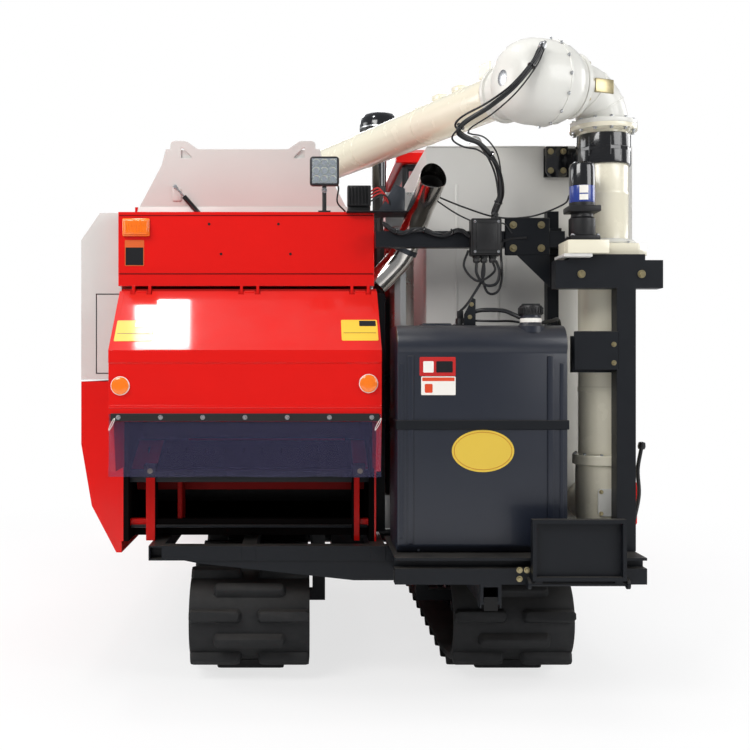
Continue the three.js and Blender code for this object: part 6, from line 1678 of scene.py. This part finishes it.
def operator_place():
    for name in ("operator_platform", "canopy_frame"):
        dress(name, FRAME, 0.003)
    dress("control_console", GREY, 0.008, 3)
    dress("canopy_roof", RED, 0.008, 3)
    for node in ("seat_cushion", "seat_back"):
        low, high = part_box(node)
        soft_pad(f"{node}_pad", node, "root", low + Vector((0.001,) * 3), high - Vector((0.001,) * 3), 0.008)
    bm = bmesh.new()
    for i in range(12):
        for j in range(8):
            x, y = 0.20 + i * 0.075, 0.50 + j * 0.055
            add_box(bm, (x, y, 0.9498), (x + 0.030, y + 0.006, 0.9525), 0.001, 1,
                    turn=Matrix.Rotation(math.radians(45 if (i + j) % 2 else -45), 3, "Z"))
    finish_mesh("tread_plate_pattern", bm, FRAME, "root")
    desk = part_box("control_console")[1].z
    bm = bmesh.new()
    y = 1.000
    add_box(bm, (0.58, y - 0.045, desk - 0.004), (0.80, y + 0.045, desk + 0.035), 0.008, 3)
    finish_mesh("dash_pod", bm, BLACK, "root")
    bm = bmesh.new()
    for k, x in enumerate((0.635, 0.735)):
        add_lathe(bm, [(0, 0), (0.032, 0), (0.034, 0.004), (0.030, 0.006)], (x, y - 0.046, desk + 0.014),
                  REAR, 32)
    finish_mesh("dash_gauges", bm, ZINC, "root")
    for k, (x, y0, lean, grip) in enumerate(((0.90, 1.02, 0.06, 0.020), (0.46, 1.02, -0.05, 0.020),
                                             (0.95, 0.99, 0.02, 0.015), (0.42, 0.99, 0.0, 0.015))):
        top = Vector((x, y0 - lean, desk + 0.20 - 0.02 * k))
        bm = bmesh.new()
        add_sweep(bm, [(x, y0, desk - 0.01), (x, y0 - lean * 0.3, desk + 0.08), top], 0.006, 10)
        finish_mesh(f"lever_rod_{k}", bm, ZINC, "root")
        bm = bmesh.new()
        add_lathe(bm, [(0, -0.05), (grip * 0.6, -0.05), (grip * 0.75, -0.02), (grip, 0.015),
                       (grip * 0.8, 0.035), (0, 0.042)], top, (0, -lean, 0.2), 24)
        finish_mesh(f"lever_grip_{k}", bm, BLACK, "root")
        bm = bmesh.new()
        add_lathe(bm, [(0, 0), (0.026, 0), (0.022, 0.010), (0.012, 0.026), (0.008, 0.030), (0, 0.030)],
                  (x, y0, desk - 0.001), UP, 24)
        finish_mesh(f"lever_boot_{k}", bm, RUBBER, "root")


def engine():
    """Engine, its cover and the radiator door with its screen."""
    dress("engine_block", DARK_STEEL, 0.006)
    dress("engine_cover", RED, 0.006, 3)
    dress("radiator_door", BLACK, 0.004)
    low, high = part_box("radiator_door")
    bm = bmesh.new()
    rows = int((high.z - low.z - 0.12) / 0.016)
    for k in range(rows):
        z = low.z + 0.06 + k * 0.016
        add_box(bm, (high.x - 0.0135, low.y + 0.045, z), (high.x - 0.0115, low.y + 0.68, z + 0.004))
    for k in range(38):
        y = low.y + 0.048 + k * 0.0165
        add_box(bm, (high.x - 0.0125, y, low.z + 0.06), (high.x - 0.0105, y + 0.003, high.z - 0.08))
    finish_mesh("radiator_screen", bm, DARK_STEEL, "radiator_door", smooth=False)
    bm = bmesh.new()
    cover_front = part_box("engine_cover")[1].y
    for k in range(9):
        x = 0.47 + k * 0.058
        add_box(bm, (x, cover_front - 0.20, 1.1995), (x + 0.034, cover_front - 0.05, 1.2045), 0.002, 1)
    finish_mesh("engine_louvres", bm, DARK_RED, "root")


def precleaner():
    x, y, top = 0.200, -0.500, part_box("air_precleaner")[1].z
    bm = bmesh.new()
    add_lathe(bm, [(0, -0.42), (0.040, -0.42), (0.040, -0.16), (0.052, -0.155), (0.100, -0.140),
                   (0.108, -0.132), (0.108, -0.120), (0.101, -0.116)], (x, y, top), UP, 56)
    for k in range(28):
        a = k / 28 * TAU
        add_box(bm, (x + 0.088, y - 0.0022, top - 0.138), (x + 0.103, y + 0.0022, top - 0.100), 0.0008, 1,
                turn=Matrix.Rotation(a, 3, "Z"), about=Vector((x, y, top)))
    add_lathe(bm, [(0.103, -0.100), (0.109, -0.096), (0.110, -0.070), (0.104, -0.040), (0.085, -0.016),
                   (0.045, -0.003), (0.030, -0.001), (0.026, 0), (0, 0)], (x, y, top), UP, 56)
    finish_mesh("precleaner_bowl", bm, GLOSS_BLACK, "root", 40)
    dress("air_precleaner", BLACK, 0.002)
    bm = bmesh.new()
    add_lathe(bm, [(0.104, -0.098), (0.1115, -0.094), (0.1115, -0.088), (0.104, -0.084)], (x, y, top), UP, 56)
    finish_mesh("precleaner_band", bm, ZINC, "root")


# ------------------------------------------------------------------ cable bundle

CABLE_ROUTE = [
    (0.674, -2.553, 2.535), (0.640, -2.580, 2.470), (0.560, -2.592, 2.372), (0.470, -2.575, 2.300),
    (0.385, -2.530, 2.252),
    (0.362, -2.495, 2.222), (0.395, -2.465, 2.203), (0.452, -2.440, 2.188), (0.512, -2.395, 2.140),
    (0.548, -2.340, 2.085),
    (0.560, -2.300, 2.010), (0.545, -2.263, 1.945), (0.545, -2.263, 1.930), (0.545, -2.263, 1.9156),
]


def cable_bundle():
    """One main sheath with thinner strands beside it and ties around it."""
    path = smooth_path(CABLE_ROUTE, 10)
    bm = bmesh.new()
    add_sweep(bm, path, 0.0095, 16)
    main = finish_mesh("auger_cable_sheath", bm, CABLE, None, 60, "auger_cable")
    strands = []
    for k in range(3):
        beside = []
        for i, point in enumerate(path):
            t = i / (len(path) - 1)
            a = k * 2.1 + t * 5.0
            spread = 0.0125 + (0.016 + 0.006 * k) * math.sin(math.pi * min(1, t * 1.25)) ** 2
            way = (path[min(i + 1, len(path) - 1)] - path[max(i - 1, 0)]).normalized()
            _, side, up = frame_along(way)
            beside.append(point + side * math.cos(a) * spread + up * math.sin(a) * spread)
        bm = bmesh.new()
        add_sweep(bm, beside, 0.0042 - 0.0006 * k, 10)
        strands.append(finish_mesh(f"auger_cable_strand_{k}", bm, CABLE, None, 60))
    for k, i in enumerate((12, 44, 78, 104)):
        bm = bmesh.new()
        i = min(i, len(path) - 2)
        add_lathe(bm, [(0.0098, -0.003), (0.0175, -0.002), (0.0175, 0.002), (0.0098, 0.003)], path[i],
                  path[i + 1] - path[i], 16)
        strands.append(finish_mesh(f"auger_cable_tie_{k}", bm, GLOSS_BLACK, None, 40))
    for piece in [main, *strands]:
        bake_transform(piece)
    bm = bmesh.new()
    head = Vector(CABLE_ROUTE[0])
    add_lathe(bm, [(0.0105, -0.012), (0.0150, -0.011), (0.0150, 0.011), (0.0105, 0.012)], head,
              path[1] - path[0], 20)
    add_lathe(bm, round_bar(0.006, 0.024), head, head - (BELL + LIFT_WAY * (head - BELL).dot(LIFT_WAY)), 12)
    finish_mesh("cable_clip", bm, ZINC, "unload_upper")


# ------------------------------------------------------------------ build

def main():
    set_stage()
    for make in (rear_hood, curtain, upper_box, covers, top_cover, work_light, unloader_column, gear_case,
                 swing_motor, swing_head, lift_bell, boom, fuel_tank, carrier, posts, junction_box, looms,
                 bracket_plates, stacked_boxes, exhaust_and_elevator, grain_tank, undercarriage,
                 outlet_frame, header, operator_place, engine, precleaner, cable_bundle):
        make()
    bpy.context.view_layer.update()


main()
